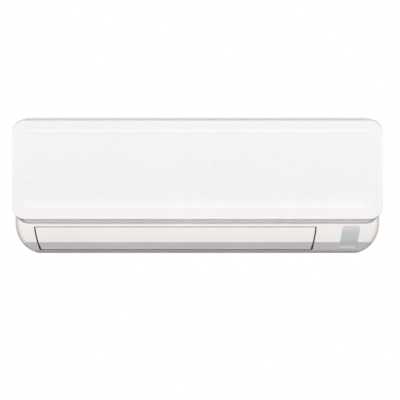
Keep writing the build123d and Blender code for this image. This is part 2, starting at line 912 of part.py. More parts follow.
with BuildPart() as flap_support:
    with BuildSketch(across(flap_support_x)):
        with Locations((flap_y, flap_z)):
            Circle(flap_boss_radius)
        Polygon(
            (flap_y - flap_boss_radius, flap_z),
            (flap_y + flap_boss_radius, flap_z),
            duct_point(duct_length + flap_boss_radius, duct_height),
            duct_point(roof_run - flap_boss_radius, duct_height),
            align=None,
        )
        with Locations((flap_y, flap_z)):
            Circle(flap_pin_radius + running_gap, mode=Mode.SUBTRACT)
    extrude(amount=flap_arm_thickness)
write_part(flap_support, "flap_support")


# ---------------------------------------------------------------- base frame
def scroll_point(angle, extra):
    """(y, z) on the scroll's wall, at an angle about the fan's axis."""
    share = (scroll_start_angle - angle) / (scroll_start_angle - scroll_low_angle)
    reach = fan_radius + scroll_start_gap + extra
    reach += (scroll_end_gap - scroll_start_gap) * share
    turn = math.radians(angle)
    return (fan_y + reach * math.cos(turn), fan_z + reach * math.sin(turn))


def scroll_curve(extra):
    """Points down the scroll, where it meets the duct's floor last."""
    step = (scroll_start_angle - scroll_end_angle) / scroll_steps
    angles = [scroll_start_angle - step * i for i in range(scroll_steps + 1)]
    return [scroll_point(angle, extra) for angle in angles] + [duct_point(0, -extra)]


scroll_inside, scroll_outside = scroll_curve(0), scroll_curve(duct_wall)
scroll_turn = math.radians(scroll_heading)
scroll_dir = (math.cos(scroll_turn), math.sin(scroll_turn))
floor_tip, floor_tip_low = duct_point(duct_length, 0), duct_point(duct_length, -duct_wall)
end_walls = ((-duct_left - duct_wall, -duct_left), (duct_right, duct_right + duct_wall))
base_face = front_face(wall + fit_gap)
wall_front_run = (end_wall_front + floor_start[0]) / -duct_dir[0]

with BuildPart() as base_frame:
    # back plate, with its slots for the wall plate's hooks
    with BuildSketch(Plane.XZ.offset(base_depth - base_thickness)):
        add(base_face)
        with Locations((0, channel_z - unit_height / 2)):
            Rectangle(unit_width, unit_height, mode=Mode.SUBTRACT)
        with Locations(
            *[(x, hook_z + plate_thickness + hook_gap - hook_slot_drop / 2) for x in hook_xs]
        ):
            Rectangle(
                hook_width + 2 * hook_gap, hook_slot_drop, mode=Mode.SUBTRACT
            )
    extrude(amount=base_thickness)
    # pipe channel: its roof and its front wall, open where the pipes come down
    span_box(
        (-casing_half + top_corner_radius, -channel_depth - base_thickness, channel_z),
        (
            casing_half - top_corner_radius,
            -base_depth + base_thickness,
            channel_z + base_thickness,
        ),
    )
    span_box(
        (-casing_half + low_corner_width, -channel_depth - base_thickness, channel_foot),
        (casing_half - low_corner_width, -channel_depth, channel_z + base_thickness),
    )
    # scroll behind the fan and the floor of the duct
    with BuildSketch(across(end_walls[0][0])):
        with BuildLine():
            Spline(*scroll_inside, tangents=[scroll_dir, duct_dir])
            Line(scroll_inside[-1], floor_tip)
            Line(floor_tip, floor_tip_low)
            Line(floor_tip_low, scroll_outside[-1])
            Spline(*scroll_outside, tangents=[scroll_dir, duct_dir])
            Line(scroll_inside[0], scroll_outside[0])
        make_face()
    extrude(amount=end_walls[1][1] - end_walls[0][0])
    # the floor runs on under the cheeks
    with BuildSketch(across(-cheek_left)):
        Polygon(
            duct_point(wall_front_run, 0),
            floor_tip,
            floor_tip_low,
            duct_point(wall_front_run, -duct_wall),
            align=None,
        )
    extrude(amount=cheek_left + cheek_right)
    # gutter under the rear coil, carried by the scroll
    for path in (gutter, (scroll_point(scroll_start_angle, duct_wall / 2), gutter[2])):
        with BuildSketch(across(end_walls[0][0])):
            with BuildLine():
                Polyline(*path)
            trace(line_width=gutter_wall)
        extrude(amount=end_walls[1][1] - end_walls[0][0])
    # end walls that carry the fan
    for low_x, high_x in end_walls:
        with BuildSketch(across(low_x)):
            Polygon(
                (-base_depth, channel_z),
                (-base_depth, end_wall_top),
                (-end_wall_front, end_wall_top),
                duct_point(wall_front_run, -duct_wall),
                duct_point(0, -duct_wall),
                (-channel_depth, channel_z),
                align=None,
            )
            with Locations((fan_y, fan_z)):
                Circle(fan_shaft_radius + scroll_start_gap / 2, mode=Mode.SUBTRACT)
        extrude(amount=high_x - low_x)
    # holes in the duct's floor for the vanes' pins
    for x in vane_xs:
        with BuildSketch(
            Plane((x, *duct_point(vane_pivot_run, 0)), x_dir=(1, 0, 0), z_dir=(0, *duct_up))
        ):
            Circle(vane_pin_radius + running_gap)
        extrude(amount=-2 * duct_wall, mode=Mode.SUBTRACT)
    # opening where the pipes go down into the channel
    span_box(
        (
            pipe_drop_x - pipe_spacing / 2 - gas_radius,
            -channel_depth,
            channel_z - base_thickness,
        ),
        (
            pipe_drop_x + pipe_spacing + 2 * gas_radius,
            -base_depth,
            channel_z + 2 * base_thickness,
        ),
        Mode.SUBTRACT,
    )
write_part(base_frame, "base_frame")

# ---------------------------------------------------------------- drain pan, with the duct's roof

def roof_y_point(y, height):
    """(y, z) above the duct's roof, at a given y."""
    run = (y - floor_start[0] - (duct_height + height) * duct_up[0]) / duct_dir[0]
    return duct_point(run, duct_height + height)


pan_front_y, pan_rear_y = -pan_front_depth, -pan_rear_depth
with BuildPart() as drain_pan:
    with BuildSketch(across(-cheek_left)):
        Polygon(
            duct_point(tongue_run, duct_height),
            duct_point(roof_run, duct_height),
            duct_point(roof_run, duct_height + duct_wall),
            roof_y_point(pan_front_y, duct_wall),
            (pan_front_y, pan_front_top),
            (pan_front_y + pan_wall, pan_front_top),
            roof_y_point(pan_front_y + pan_wall, duct_wall),
            roof_y_point(pan_rear_y, duct_wall),
            (pan_rear_y, pan_rear_top),
            (pan_rear_y + pan_wall, pan_rear_top),
            roof_y_point(pan_rear_y + pan_wall, duct_wall),
            align=None,
        )
    extrude(amount=cheek_left + cheek_right)
    # end walls of the trough and the rests that the coil stands on
    trough = [
        roof_y_point(pan_front_y, duct_wall / 2),
        (pan_front_y, pan_front_top),
        (pan_rear_y + pan_wall, pan_rear_top),
        roof_y_point(pan_rear_y + pan_wall, duct_wall / 2),
    ]
    for start_x in (-cheek_left, cheek_right - pan_wall):
        with BuildSketch(across(start_x)):
            Polygon(*trough, align=None)
        extrude(amount=pan_wall)
    coil_foot_z = coil_lower[0][1]
    rest = [
        roof_y_point(pan_front_y + pan_wall, duct_wall / 2),
        (pan_front_y + pan_wall, coil_foot_z),
        (pan_rear_y, coil_foot_z),
        roof_y_point(pan_rear_y, duct_wall / 2),
    ]
    for x in pan_rest_xs:
        with BuildSketch(across(x - pan_rest_width / 2)):
            Polygon(*rest, align=None)
        extrude(amount=pan_rest_width)
    # tabs that the filters stand on, and bosses for the casing's screws
    filter_front_y = -filter_depth - filter_thickness
    for low_x, high_x in window_spans:
        for x in (low_x + pan_tab_width, high_x - pan_tab_width):
            span_box(
                (x - pan_tab_width / 2, filter_front_y, filter_foot - pan_tab_height),
                (x + pan_tab_width / 2, pan_front_y, filter_foot),
            )
    with BuildSketch(Plane.XZ.offset(pan_front_depth - pan_wall)):
        with Locations(*[(x, screw_z) for x in screw_xs]):
            Circle(pan_boss_radius)
    extrude(amount=seat_depth - wall - pan_front_depth + pan_wall)
    with BuildSketch(Plane.XZ.offset(pan_front_depth - screw_length)):
        with Locations(*[(x, screw_z) for x in screw_xs]):
            Circle(screw_radius)
    extrude(amount=2 * screw_length, mode=Mode.SUBTRACT)
    # hole for the drain spout
    spout_y = (pan_front_y + pan_rear_y) / 2
    spout_z = roof_y_point(spout_y, duct_wall)[1] + spout_radius
    with BuildSketch(across(-cheek_left)):
        with Locations((spout_y, spout_z)):
            Circle(spout_radius - spout_wall)
    extrude(amount=pan_wall, mode=Mode.SUBTRACT)
write_part(drain_pan, "drain_pan")

with BuildPart() as drain_spout:
    with BuildSketch(across(-cheek_left)):
        with Locations((spout_y, spout_z)):
            Circle(spout_flange)
            Circle(spout_radius - spout_wall, mode=Mode.SUBTRACT)
    extrude(amount=-spout_flange_thickness)
    with BuildSketch(across(-cheek_left)):
        with Locations((spout_y, spout_z)):
            Circle(spout_radius)
            Circle(spout_radius - spout_wall, mode=Mode.SUBTRACT)
    extrude(amount=-spout_length)
write_part(drain_spout, "drain_spout")

with BuildPart() as casing_screws:
    with BuildSketch(Plane.XZ.offset(seat_depth)):
        with Locations(*[(x, screw_z) for x in screw_xs]):
            Circle(screw_head_radius)
    extrude(amount=screw_head_height)
    with BuildSketch(Plane.XZ.offset(seat_depth)):
        with Locations(*[(x, screw_z) for x in screw_xs]):
            Circle(screw_radius)
    extrude(amount=-screw_length)
write_part(casing_screws, "casing_screws")

# ---------------------------------------------------------------- fan, shaft, bearing and motor
with BuildSketch(Plane.YZ) as blade_section:
    with BuildLine():
        ThreePointArc(
            (fan_inner_radius, 0),
            ((fan_inner_radius + fan_radius) / 2, fan_blade_bulge),
            (fan_radius - fan_blade_thickness / 2, 0),
        )
    trace(line_width=fan_blade_thickness)

with BuildPart() as crossflow_fan:
    with BuildSketch(across(fan_left)):
        with Locations((fan_y, fan_z)):
            with PolarLocations(0, fan_blades):
                add(blade_section.sketch_local)
    extrude(amount=fan_right - fan_left)
    disc_pitch = (fan_right - fan_left - fan_disc_thickness) / fan_segments
    for i in range(fan_segments + 1):
        end_disc = i in (0, fan_segments)
        with BuildSketch(across(fan_left + i * disc_pitch)):
            with Locations((fan_y, fan_z)):
                Circle(fan_radius)
                if not end_disc:
                    Circle(fan_inner_radius, mode=Mode.SUBTRACT)
        extrude(amount=fan_disc_thickness)
    # stub on the left and the hub that grips the motor's shaft on the right
    with BuildSketch(across(fan_left)):
        with Locations((fan_y, fan_z)):
            Circle(fan_shaft_radius)
    extrude(amount=-(fan_end_gap + duct_wall + bearing_length))
    with BuildSketch(across(fan_right)):
        with Locations((fan_y, fan_z)):
            Circle(fan_hub_radius)
    extrude(amount=-fan_hub_length)
    with BuildSketch(across(fan_right)):
        with Locations((fan_y, fan_z)):
            Circle(fan_shaft_radius)
    extrude(amount=-fan_hub_length + fan_disc_thickness, mode=Mode.SUBTRACT)
write_part(crossflow_fan, "crossflow_fan")

with BuildPart() as fan_shaft:
    with BuildSketch(across(fan_right - fan_hub_length + fan_disc_thickness)):
        with Locations((fan_y, fan_z)):
            Circle(fan_shaft_radius)
    extrude(
        amount=motor_start + motor_bore_depth - pin_room - fan_right + fan_hub_length
        - fan_disc_thickness
    )
write_part(fan_shaft, "fan_shaft")

holder_x = end_walls[0][0]
with BuildPart() as fan_bearing:
    with BuildSketch(across(holder_x - fit_gap)):
        with Locations((fan_y, fan_z)):
            Circle(bearing_radius)
            Circle(fan_shaft_radius + running_gap, mode=Mode.SUBTRACT)
    extrude(amount=-bearing_length)
write_part(fan_bearing, "fan_bearing")

with BuildPart() as bearing_holder:
    with BuildSketch(across(holder_x)):
        with Locations((fan_y, fan_z)):
            Circle(bearing_holder_radius)
            Circle(bearing_radius, mode=Mode.SUBTRACT)
    extrude(amount=-bearing_length - fit_gap)
    with BuildSketch(across(holder_x - bearing_length - fit_gap)):
        with Locations((fan_y, fan_z)):
            Circle(bearing_holder_radius)
    extrude(amount=-duct_wall)
write_part(bearing_holder, "bearing_holder")

with BuildPart() as fan_motor:
    for start_x, radius, length in (
        (motor_start, motor_radius, motor_length),
        (motor_start + motor_length, motor_end_radius, motor_end_length),
    ):
        with BuildSketch(across(start_x)):
            with Locations((fan_y, fan_z)):
                Circle(radius)
        extrude(amount=length)
    with BuildSketch(across(motor_start)):
        with Locations((fan_y, fan_z)):
            Circle(fan_shaft_radius + running_gap)
    extrude(amount=motor_bore_depth, mode=Mode.SUBTRACT)
write_part(fan_motor, "fan_motor")

with BuildPart() as motor_bracket:
    bracket_low = fan_z - motor_radius - bracket_rim
    for start_x in (bracket_start, bracket_start + bracket_span):
        with BuildSketch(across(start_x)):
            with Locations((fan_y, fan_z)):
                Circle(motor_radius + bracket_rim)
            Polygon(
                (-base_depth, channel_z + base_thickness),
                (-base_depth, fan_z + motor_radius),
                (fan_y, fan_z + motor_radius),
                (fan_y, channel_z + base_thickness),
                align=None,
            )
            with Locations((fan_y, fan_z)):
                Circle(motor_radius, mode=Mode.SUBTRACT)
        extrude(amount=bracket_plate)
    span_box(
        (bracket_start, -base_depth - bracket_plate, channel_z + 3 * base_thickness),
        (
            bracket_start + bracket_span,
            -base_depth,
            fan_z + motor_radius,
        ),
    )
write_part(motor_bracket, "motor_bracket")

# ---------------------------------------------------------------- vanes, links and their motors
vane_shape = [
    (-vane_rear, vane_lift),
    (vane_front, vane_lift),
    (vane_front, vane_height),
    (-vane_shoulder, vane_height),
    (-vane_rear, vane_rear_height),
]
link_low = vane_height + vane_link_gap
vane_groups = (vane_xs[: vane_count // 2], vane_xs[vane_count // 2 :])
drive_xs = (vane_xs[0], vane_xs[-1])


def duct_side(x):
    """Plane across the duct at x: its own x runs along the floor, its own y stands off it."""
    return Plane(
        (x, *floor_start), x_dir=(0, *duct_dir), z_dir=(-1, 0, 0)
    )


def duct_level(height):
    """Plane at a height above the duct's floor: its own x is X, its own y runs back."""
    return Plane((0, *duct_point(0, height)), x_dir=(1, 0, 0), z_dir=(0, *duct_up))


for i, vane_x in enumerate(vane_xs):
    pin_length = vane_drive_length if vane_x in drive_xs else vane_pin_length
    with BuildPart() as vane:
        with BuildSketch(duct_side(vane_x)):
            Polygon(*[(vane_pivot_run + s, h) for s, h in vane_shape], align=None)
        extrude(amount=vane_thickness / 2, both=True)
        for run, height, radius, length in (
            (vane_pivot_run, vane_lift, vane_pin_radius, -vane_lift - pin_length),
            (
                vane_pivot_run + vane_link_run,
                vane_height,
                vane_link_pin_radius,
                vane_link_pin_length,
            ),
        ):
            with BuildSketch(duct_level(height)):
                with Locations((vane_x, -run)):
                    Circle(radius)
            extrude(amount=length)
    write_part(vane, f"vane_{i + 1:02d}")

for side, xs in zip(("left", "right"), vane_groups):
    with BuildPart() as vane_link:
        with BuildSketch(duct_level(link_low)):
            with Locations(((xs[0] + xs[-1]) / 2, -vane_pivot_run - vane_link_run)):
                SlotCenterToCenter(xs[-1] - xs[0], vane_link_width)
            with Locations(*[(x, -vane_pivot_run - vane_link_run) for x in xs]):
                Circle(vane_link_pin_radius + running_gap, mode=Mode.SUBTRACT)
        extrude(amount=vane_link_thickness)
    write_part(vane_link, f"vane_link_{side}")

for side, x in zip(("left", "right"), drive_xs):
    with BuildPart() as vane_motor:
        with BuildSketch(duct_level(-duct_wall)):
            with Locations((x, -vane_pivot_run)):
                Circle(vane_motor_radius)
        extrude(amount=-vane_motor_height)
        with BuildSketch(duct_level(-duct_wall)):
            with Locations((x, -vane_pivot_run)):
                Circle(vane_pin_radius + running_gap)
        extrude(amount=-(vane_drive_length - duct_wall) - fit_gap, mode=Mode.SUBTRACT)
    write_part(vane_motor, f"vane_motor_{side}")

with BuildPart() as flap_motor:
    with BuildSketch(across(cheek_right)):
        with Locations((flap_y, flap_z)):
            Circle(flap_motor_radius)
    extrude(amount=flap_motor_length)
    with BuildSketch(across(cheek_right)):
        with Locations((flap_y, flap_z)):
            Circle(flap_pin_radius + running_gap)
    extrude(amount=flap_drive_length + fit_gap, mode=Mode.SUBTRACT)
write_part(flap_motor, "flap_motor")


# ---------------------------------------------------------------- heat exchanger
def coil_axes(coil):
    """Directions along a coil block and out through its face, as (y, z)."""
    turn = math.radians(coil[1])
    along = Vector(math.cos(turn), math.sin(turn))
    outward = Vector(-along.Y, along.X)
    return along, outward


def coil_point(coil, run, across_run):
    """(y, z) inside a coil block: run along it, across_run out from its inner face."""
    along, outward = coil_axes(coil)
    place = Vector(*coil[0]) + along * run + outward * across_run
    return (place.X, place.Y)


def coil_outline(coil, rim):
    """Side view of a coil block, drawn larger by rim."""
    length = coil[2]
    with BuildSketch(Plane.YZ) as outline:
        Polygon(
            coil_point(coil, -rim, -rim),
            coil_point(coil, length + rim, -rim),
            coil_point(coil, length + rim, coil_thickness + rim),
            coil_point(coil, -rim, coil_thickness + rim),
            align=None,
        )
    return outline.sketch_local


def tube_places(coil):
    """(y, z) of the tubes, row by row, counted from the block's upper end."""
    count = 2 * int(coil[2] / (2 * tube_pitch))
    first = (coil[2] - (count - 1) * tube_pitch) / 2
    runs = [first + i * tube_pitch for i in range(count)]
    if coil is not coil_rear:
        runs.reverse()
    depths = ((coil_thickness - tube_row_gap) / 2, (coil_thickness + tube_row_gap) / 2)
    return [[coil_point(coil, run, depth) for run in runs] for depth in depths]


coils = {
    "evaporator_front_lower": coil_lower,
    "evaporator_front_upper": coil_upper,
    "evaporator_rear": coil_rear,
}
plate_x = coil_right + end_plate_thickness  # outer side of the right end plate

for label, coil in coils.items():
    outline, rows = coil_outline(coil, 0), tube_places(coil)
    with BuildPart() as evaporator:
        with BuildSketch(across(-coil_left)):
            add(outline)
            with Locations(*rows[0], *rows[1]):
                Circle(tube_radius, mode=Mode.SUBTRACT)
        extrude(amount=coil_left + coil_right)
    write_part(evaporator, label)

with BuildPart() as evaporator_end_plates:
    for start_x in (-coil_left - end_plate_thickness, coil_right):
        for coil in coils.values():
            with BuildSketch(across(start_x)):
                add(coil_outline(coil, end_plate_rim))
            extrude(amount=end_plate_thickness)
        with BuildSketch(across(start_x)):
            for coil in coils.values():
                with Locations(*[place for row in tube_places(coil) for place in row]):
                    Circle(tube_radius)
        extrude(amount=end_plate_thickness, mode=Mode.SUBTRACT)
write_part(evaporator_end_plates, "evaporator_end_plates")


def tube_run(places):
    """Path through a block's tubes in turn, from its right end and back, with half-round bends."""
    ends = (plate_x + tube_stub, left_end)
    for i, place in enumerate(places):
        end_x = ends[1 - i % 2]
        Line((ends[i % 2], *place), (end_x, *place))
        if place == places[-1]:
            break
        following = places[i + 1]
        bend_reach = math.dist(place, following) / 2
        middle = [(a + b) / 2 for a, b in zip(place, following)]
        outermost = end_x + bend_reach * (1 if i % 2 else -1)
        ThreePointArc((end_x, *place), (outermost, *middle), (end_x, *following))


def jumper(start, end):
    """Path from one block's last tube to the next block's first, at their right ends."""
    out_x = plate_x + tube_stub
    FilletPolyline(
        (out_x, *start),
        (out_x + jumper_reach, *start),
        (out_x + jumper_reach, *end),
        (out_x, *end),
        radius=jumper_radius,
    )


lower_tubes, upper_tubes, rear_tubes = (tube_places(coil) for coil in coils.values())
left_end = -coil_left - end_plate_thickness

# one tube from the liquid line to the gas line
with BuildPart() as refrigerant_tubes:
    with BuildLine() as circuit:
        tube_run(rear_tubes[1] + rear_tubes[0][::-1])
        jumper(rear_tubes[0][0], upper_tubes[0][0])
        tube_run(upper_tubes[0] + upper_tubes[1][::-1])
        jumper(upper_tubes[1][0], lower_tubes[1][0])
        tube_run(lower_tubes[1] + lower_tubes[0][::-1])
    with BuildSketch(
        Plane((plate_x + tube_stub, *rear_tubes[1][0]), x_dir=(0, 1, 0), z_dir=(-1, 0, 0))
    ):
        Circle(tube_radius)
        Circle(tube_radius - tube_wall, mode=Mode.SUBTRACT)
    sweep()
write_part(refrigerant_tubes, "refrigerant_tubes")


# ---------------------------------------------------------------- pipes in the channel
def line_pipe(start, drop_x, end_x, line_z, radius):
    """A pipe from a coil tube's end down into the channel and along it to end_x."""
    line_y = -pipe_line_depth
    corners = [
        (plate_x + tube_stub, *start),
        (drop_x, *start),
        (drop_x, line_y, start[1]),
        (drop_x, line_y, line_z),
        (end_x, line_y, line_z),
    ]
    with BuildPart() as pipe:
        with BuildLine():
            FilletPolyline(*corners, radius=pipe_bend)
        with BuildSketch(Plane(corners[0], x_dir=(0, 1, 0), z_dir=(1, 0, 0))):
            Circle(radius)
            Circle(radius - pipe_wall, mode=Mode.SUBTRACT)
        sweep()
    return pipe


def union(end_x, line_z, pipe_radius, thread_radius):
    """Flare union at a pipe's end: a hexagon and a round male end, bored for the pipe."""
    with BuildPart() as fitting:
        with BuildSketch(across(end_x - union_length / 2)):
            with Locations((-pipe_line_depth, line_z)):
                RegularPolygon(thread_radius + union_nut_rim, 6)
        extrude(amount=union_length / 2)
        with BuildSketch(across(end_x - union_length)):
            with Locations((-pipe_line_depth, line_z)):
                Circle(thread_radius)
        extrude(amount=union_length / 2)
        with BuildSketch(across(end_x - union_length)):
            with Locations((-pipe_line_depth, line_z)):
                Circle(pipe_radius)
        extrude(amount=union_length, mode=Mode.SUBTRACT)
    return fitting


gas_pipe_x = pipe_drop_x + pipe_spacing
pipe_liquid = line_pipe(
    rear_tubes[1][0], pipe_drop_x, liquid_end - union_length / 2, liquid_z, liquid_radius
)
pipe_gas = line_pipe(
    lower_tubes[0][0], gas_pipe_x, gas_end - union_length / 2, gas_z, gas_radius
)
liquid_union = union(liquid_end, liquid_z, liquid_radius, liquid_thread_radius)
gas_union = union(gas_end, gas_z, gas_radius, gas_thread_radius)
write_part(pipe_liquid, "pipe_liquid")
write_part(pipe_gas, "pipe_gas")
write_part(liquid_union, "liquid_union")
write_part(gas_union, "gas_union")

with BuildPart() as pipe_clamp:
    clamp_low = liquid_z - liquid_radius - clamp_margin
    clamp_high = gas_z + gas_radius + clamp_margin
    span_box(
        (clamp_x, -channel_depth, clamp_low),
        (clamp_x + clamp_width, -pipe_line_depth + gas_radius + clamp_margin, clamp_high),
    )
    with BuildSketch(across(clamp_x)):
        with Locations((-pipe_line_depth, liquid_z)):
            Circle(liquid_radius)
        with Locations((-pipe_line_depth, gas_z)):
            Circle(gas_radius)
    extrude(amount=clamp_width, mode=Mode.SUBTRACT)
write_part(pipe_clamp, "pipe_clamp")

# ---------------------------------------------------------------- wall plate
with BuildPart() as mounting_plate:
    with BuildSketch(Plane.XZ):
        with Locations((0, (plate_top + plate_foot) / 2)):
            RectangleRounded(plate_width, plate_top - plate_foot, plate_corner_radius)
        with Locations((0, top_z - plate_hole_drop)):
            with GridLocations(plate_hole_span, plate_hole_rise, 2, 2):
                Circle(plate_hole_radius, mode=Mode.SUBTRACT)
    extrude(amount=plate_thickness)
    # hooks that the base frame hangs on
    for x in hook_xs:
        span_box(
            (x - hook_width / 2, -hook_reach, hook_z),
            (x + hook_width / 2, -plate_thickness, hook_z + plate_thickness),
        )
        span_box(
            (x - hook_width / 2, -hook_reach, hook_z),
            (x + hook_width / 2, -hook_reach + plate_thickness, hook_z + hook_upturn),
        )
write_part(mounting_plate, "mounting_plate")

# ---------------------------------------------------------------- air filters
upper_out = coil_axes(coil_upper)[1]
upper_along = coil_axes(coil_upper)[0]
slope_start = Vector(*coil_point(coil_upper, 0, coil_thickness + filter_clearance))
filter_mid_y = -filter_depth - filter_thickness / 2
slope_run = (filter_mid_y - slope_start.X) / upper_along.X
filter_corner = slope_start + upper_along * slope_run
filter_end = filter_corner + upper_along * filter_slope_length


def filter_path(trim):
    """The filter's line in side view, cut back by trim at both ends."""
    end = filter_end - upper_along * trim
    with BuildLine() as path:
        FilletPolyline(
            (filter_mid_y, filter_foot + trim),
            (filter_corner.X, filter_corner.Y),
            (end.X, end.Y),
            radius=filter_bend,
        )
    return path.line


def filter_sheet(low_x, high_x, trim, thickness):
    """A sheet that follows the filter's line from low_x to high_x."""
    with BuildPart() as sheet:
        with BuildSketch(across(low_x)):
            trace(filter_path(trim), line_width=thickness)
        extrude(amount=high_x - low_x)
    return sheet


filter_spans = (
    (-duct_left - filter_side, seat_window_centre - filter_middle_gap / 2),
    (seat_window_centre + filter_middle_gap / 2, duct_right + filter_side),
)
bar_top = filter_corner.Y - filter_bend
for side, (low_x, high_x) in zip(("left", "right"), filter_spans):
    mesh = filter_sheet(
        low_x + filter_mesh_grip,
        high_x - filter_mesh_grip,
        filter_mesh_grip,
        filter_mesh_thickness,
    )
    with BuildPart() as filter_frame:
        add(filter_sheet(low_x, high_x, 0, filter_thickness).part)
        middle_x = (low_x + high_x) / 2
        pitch_x = (high_x - low_x - 2 * filter_bar + filter_rib) / filter_columns
        low_z = filter_foot + filter_bar
        pitch_z = (bar_top - low_z + filter_rib) / filter_rows
        with BuildSketch(Plane.XZ.offset(filter_depth - filter_thickness)):
            with Locations((middle_x, low_z + (bar_top - low_z) / 2)):
                with GridLocations(pitch_x, pitch_z, filter_columns, filter_rows):
                    Rectangle(pitch_x - filter_rib, pitch_z - filter_rib)
        extrude(amount=3 * filter_thickness, mode=Mode.SUBTRACT)
        slope_plane = Plane(
            (middle_x, filter_corner.X, filter_corner.Y),
            x_dir=(1, 0, 0),
            z_dir=(0, upper_out.X, upper_out.Y),
        )
        slope_low = filter_bend
        slope_high = filter_slope_length - filter_bar
        with BuildSketch(slope_plane.offset(-2 * filter_thickness)):
            with Locations((0, (slope_low + slope_high) / 2)):
                with GridLocations(pitch_x, 1, filter_columns, 1):
                    Rectangle(pitch_x - filter_rib, slope_high - slope_low)
        extrude(amount=4 * filter_thickness, mode=Mode.SUBTRACT)
        add(mesh.part, mode=Mode.SUBTRACT)
        # grip at the foot
        span_box(
            (
                middle_x - filter_grip_width / 2,
                filter_mid_y - filter_thickness / 2 - filter_grip_reach,
                window_z[0] + fit_gap,
            ),
            (
                middle_x + filter_grip_width / 2,
                filter_mid_y - filter_thickness / 2,
                window_z[0] + fit_gap + filter_grip_height,
            ),
        )
        span_box(
            (
                middle_x - filter_grip_width / 2,
                filter_mid_y - filter_thickness / 2,
                filter_foot + filter_bar / 2,
            ),
            (
                middle_x + filter_grip_width / 2,
                filter_mid_y - filter_mesh_thickness / 2,
                window_z[0] + fit_gap + filter_grip_height,
            ),
        )
    write_part(filter_frame, f"filter_frame_{side}")
    write_part(mesh, f"filter_mesh_{side}")

# ---------------------------------------------------------------- electrics
with BuildPart() as electric_box:
    span_box((box_left, -box_front, box_foot), (box_right, -box_rear, box_top))
    span_box(
        (box_left + box_wall, -box_front + box_wall, box_foot + box_wall),
        (box_right - box_wall, -box_rear + box_wall, box_top - box_wall),
        Mode.SUBTRACT,
    )
    # opening in front of the terminals
    span_box(
        (
            box_left + box_wall + board_margin,
            -box_front,
            terminal_foot,
        ),
        (
            box_left + box_wall + board_margin + terminal_width,
            -box_front + box_wall,
            terminal_foot + terminal_height + board_margin,
        ),
        Mode.SUBTRACT,
    )
write_part(electric_box, "electric_box")

with BuildPart() as control_board:
    board_low = (
        box_left + box_wall,
        -board_depth,
        box_foot + box_wall + board_margin,
    )
    board_high = (
        box_right - box_wall,
        -board_depth + board_thickness,
        box_top - box_wall - board_margin,
    )
    span_box(board_low, board_high)
    # transformer, relay, two capacitors and a row of sockets
    for low, size in board_components:
        span_box(
            (board_low[0] + low[0], -board_depth - size[1], board_low[2] + low[1]),
            (
                board_low[0] + low[0] + size[0],
                -board_depth,
                board_low[2] + low[1] + size[2],
            ),
        )
write_part(control_board, "control_board")

with BuildPart() as terminal_block:
    terminal_low = (box_left + box_wall + board_margin, -box_front, terminal_foot)
    span_box(
        terminal_low,
        (
            terminal_low[0] + terminal_width,
            terminal_low[1] + terminal_depth,
            terminal_low[2] + terminal_height,
        ),
    )
    with BuildSketch(Plane.XZ.offset(box_front)):
        with Locations(
            (terminal_low[0] + terminal_width / 2, terminal_foot + terminal_height / 2)
        ):
            with GridLocations(terminal_width / terminal_count, 0, terminal_count, 1):
                Circle(terminal_width / terminal_count / 3)
    extrude(amount=-terminal_depth / 2, mode=Mode.SUBTRACT)
write_part(terminal_block, "terminal_block")

with BuildPart() as terminal_cover:
    cover_middle = ((cover_left + cover_right) / 2, sum(cover_z) / 2)
    cover_size = (cover_right - cover_left, cover_z[1] - cover_z[0])
    with BuildSketch(Plane.XZ.offset(seat_depth)):
        with Locations(cover_middle):
            RectangleRounded(
                cover_size[0] + 2 * cover_lip,
                cover_size[1] + 2 * cover_lip,
                seat_window_radius + cover_lip,
            )
    extrude(amount=cover_thickness)
    with BuildSketch(Plane.XZ.offset(seat_depth - wall)):
        with Locations(cover_middle):
            RectangleRounded(
                cover_size[0] - 2 * cover_gap,
                cover_size[1] - 2 * cover_gap,
                seat_window_radius - cover_gap,
            )
    extrude(amount=wall)
    with BuildSketch(Plane.XZ.offset(seat_depth - wall)):
        with Locations((cover_middle[0], cover_z[0] + 2 * cover_lip)):
            Circle(screw_radius)
    extrude(amount=wall + cover_thickness, mode=Mode.SUBTRACT)
write_part(terminal_cover, "terminal_cover")

with BuildPart() as terminal_cover_screw:
    for start, radius, length in (
        (seat_depth + cover_thickness, screw_head_radius, screw_head_height),
        (seat_depth + cover_thickness, screw_radius, -screw_length),
    ):
        with BuildSketch(Plane.XZ.offset(start)):
            with Locations((cover_middle[0], cover_z[0] + 2 * cover_lip)):
                Circle(radius)
        extrude(amount=length)
write_part(terminal_cover_screw, "terminal_cover_screw")

switch_front = box_front + switch_height
with BuildPart() as button_switch:
    span_box(
        (button_x - switch_size / 2, -switch_front, button_z - switch_size / 2),
        (button_x + switch_size / 2, -box_front, button_z + switch_size / 2),
    )
write_part(button_switch, "button_switch")

with BuildPart() as run_button:
    flange_front = seat_depth - wall - fit_gap - button_flange_gap
    for start, radius, end in (
        (flange_front, button_radius, seat_depth + button_proud),
        (
            flange_front - button_flange_thickness,
            button_radius + button_flange,
            flange_front,
        ),
        (
            switch_front + button_travel + fit_gap,
            button_radius / 2,
            flange_front,
        ),
    ):
        with BuildSketch(Plane.XZ.offset(start)):
            with Locations((button_x, button_z)):
                Circle(radius)
        extrude(amount=end - start)
write_part(run_button, "run_button")
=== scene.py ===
import json
import math

import bmesh
import bpy
from mathutils import Matrix, Vector
from mathutils.bvhtree import BVHTree


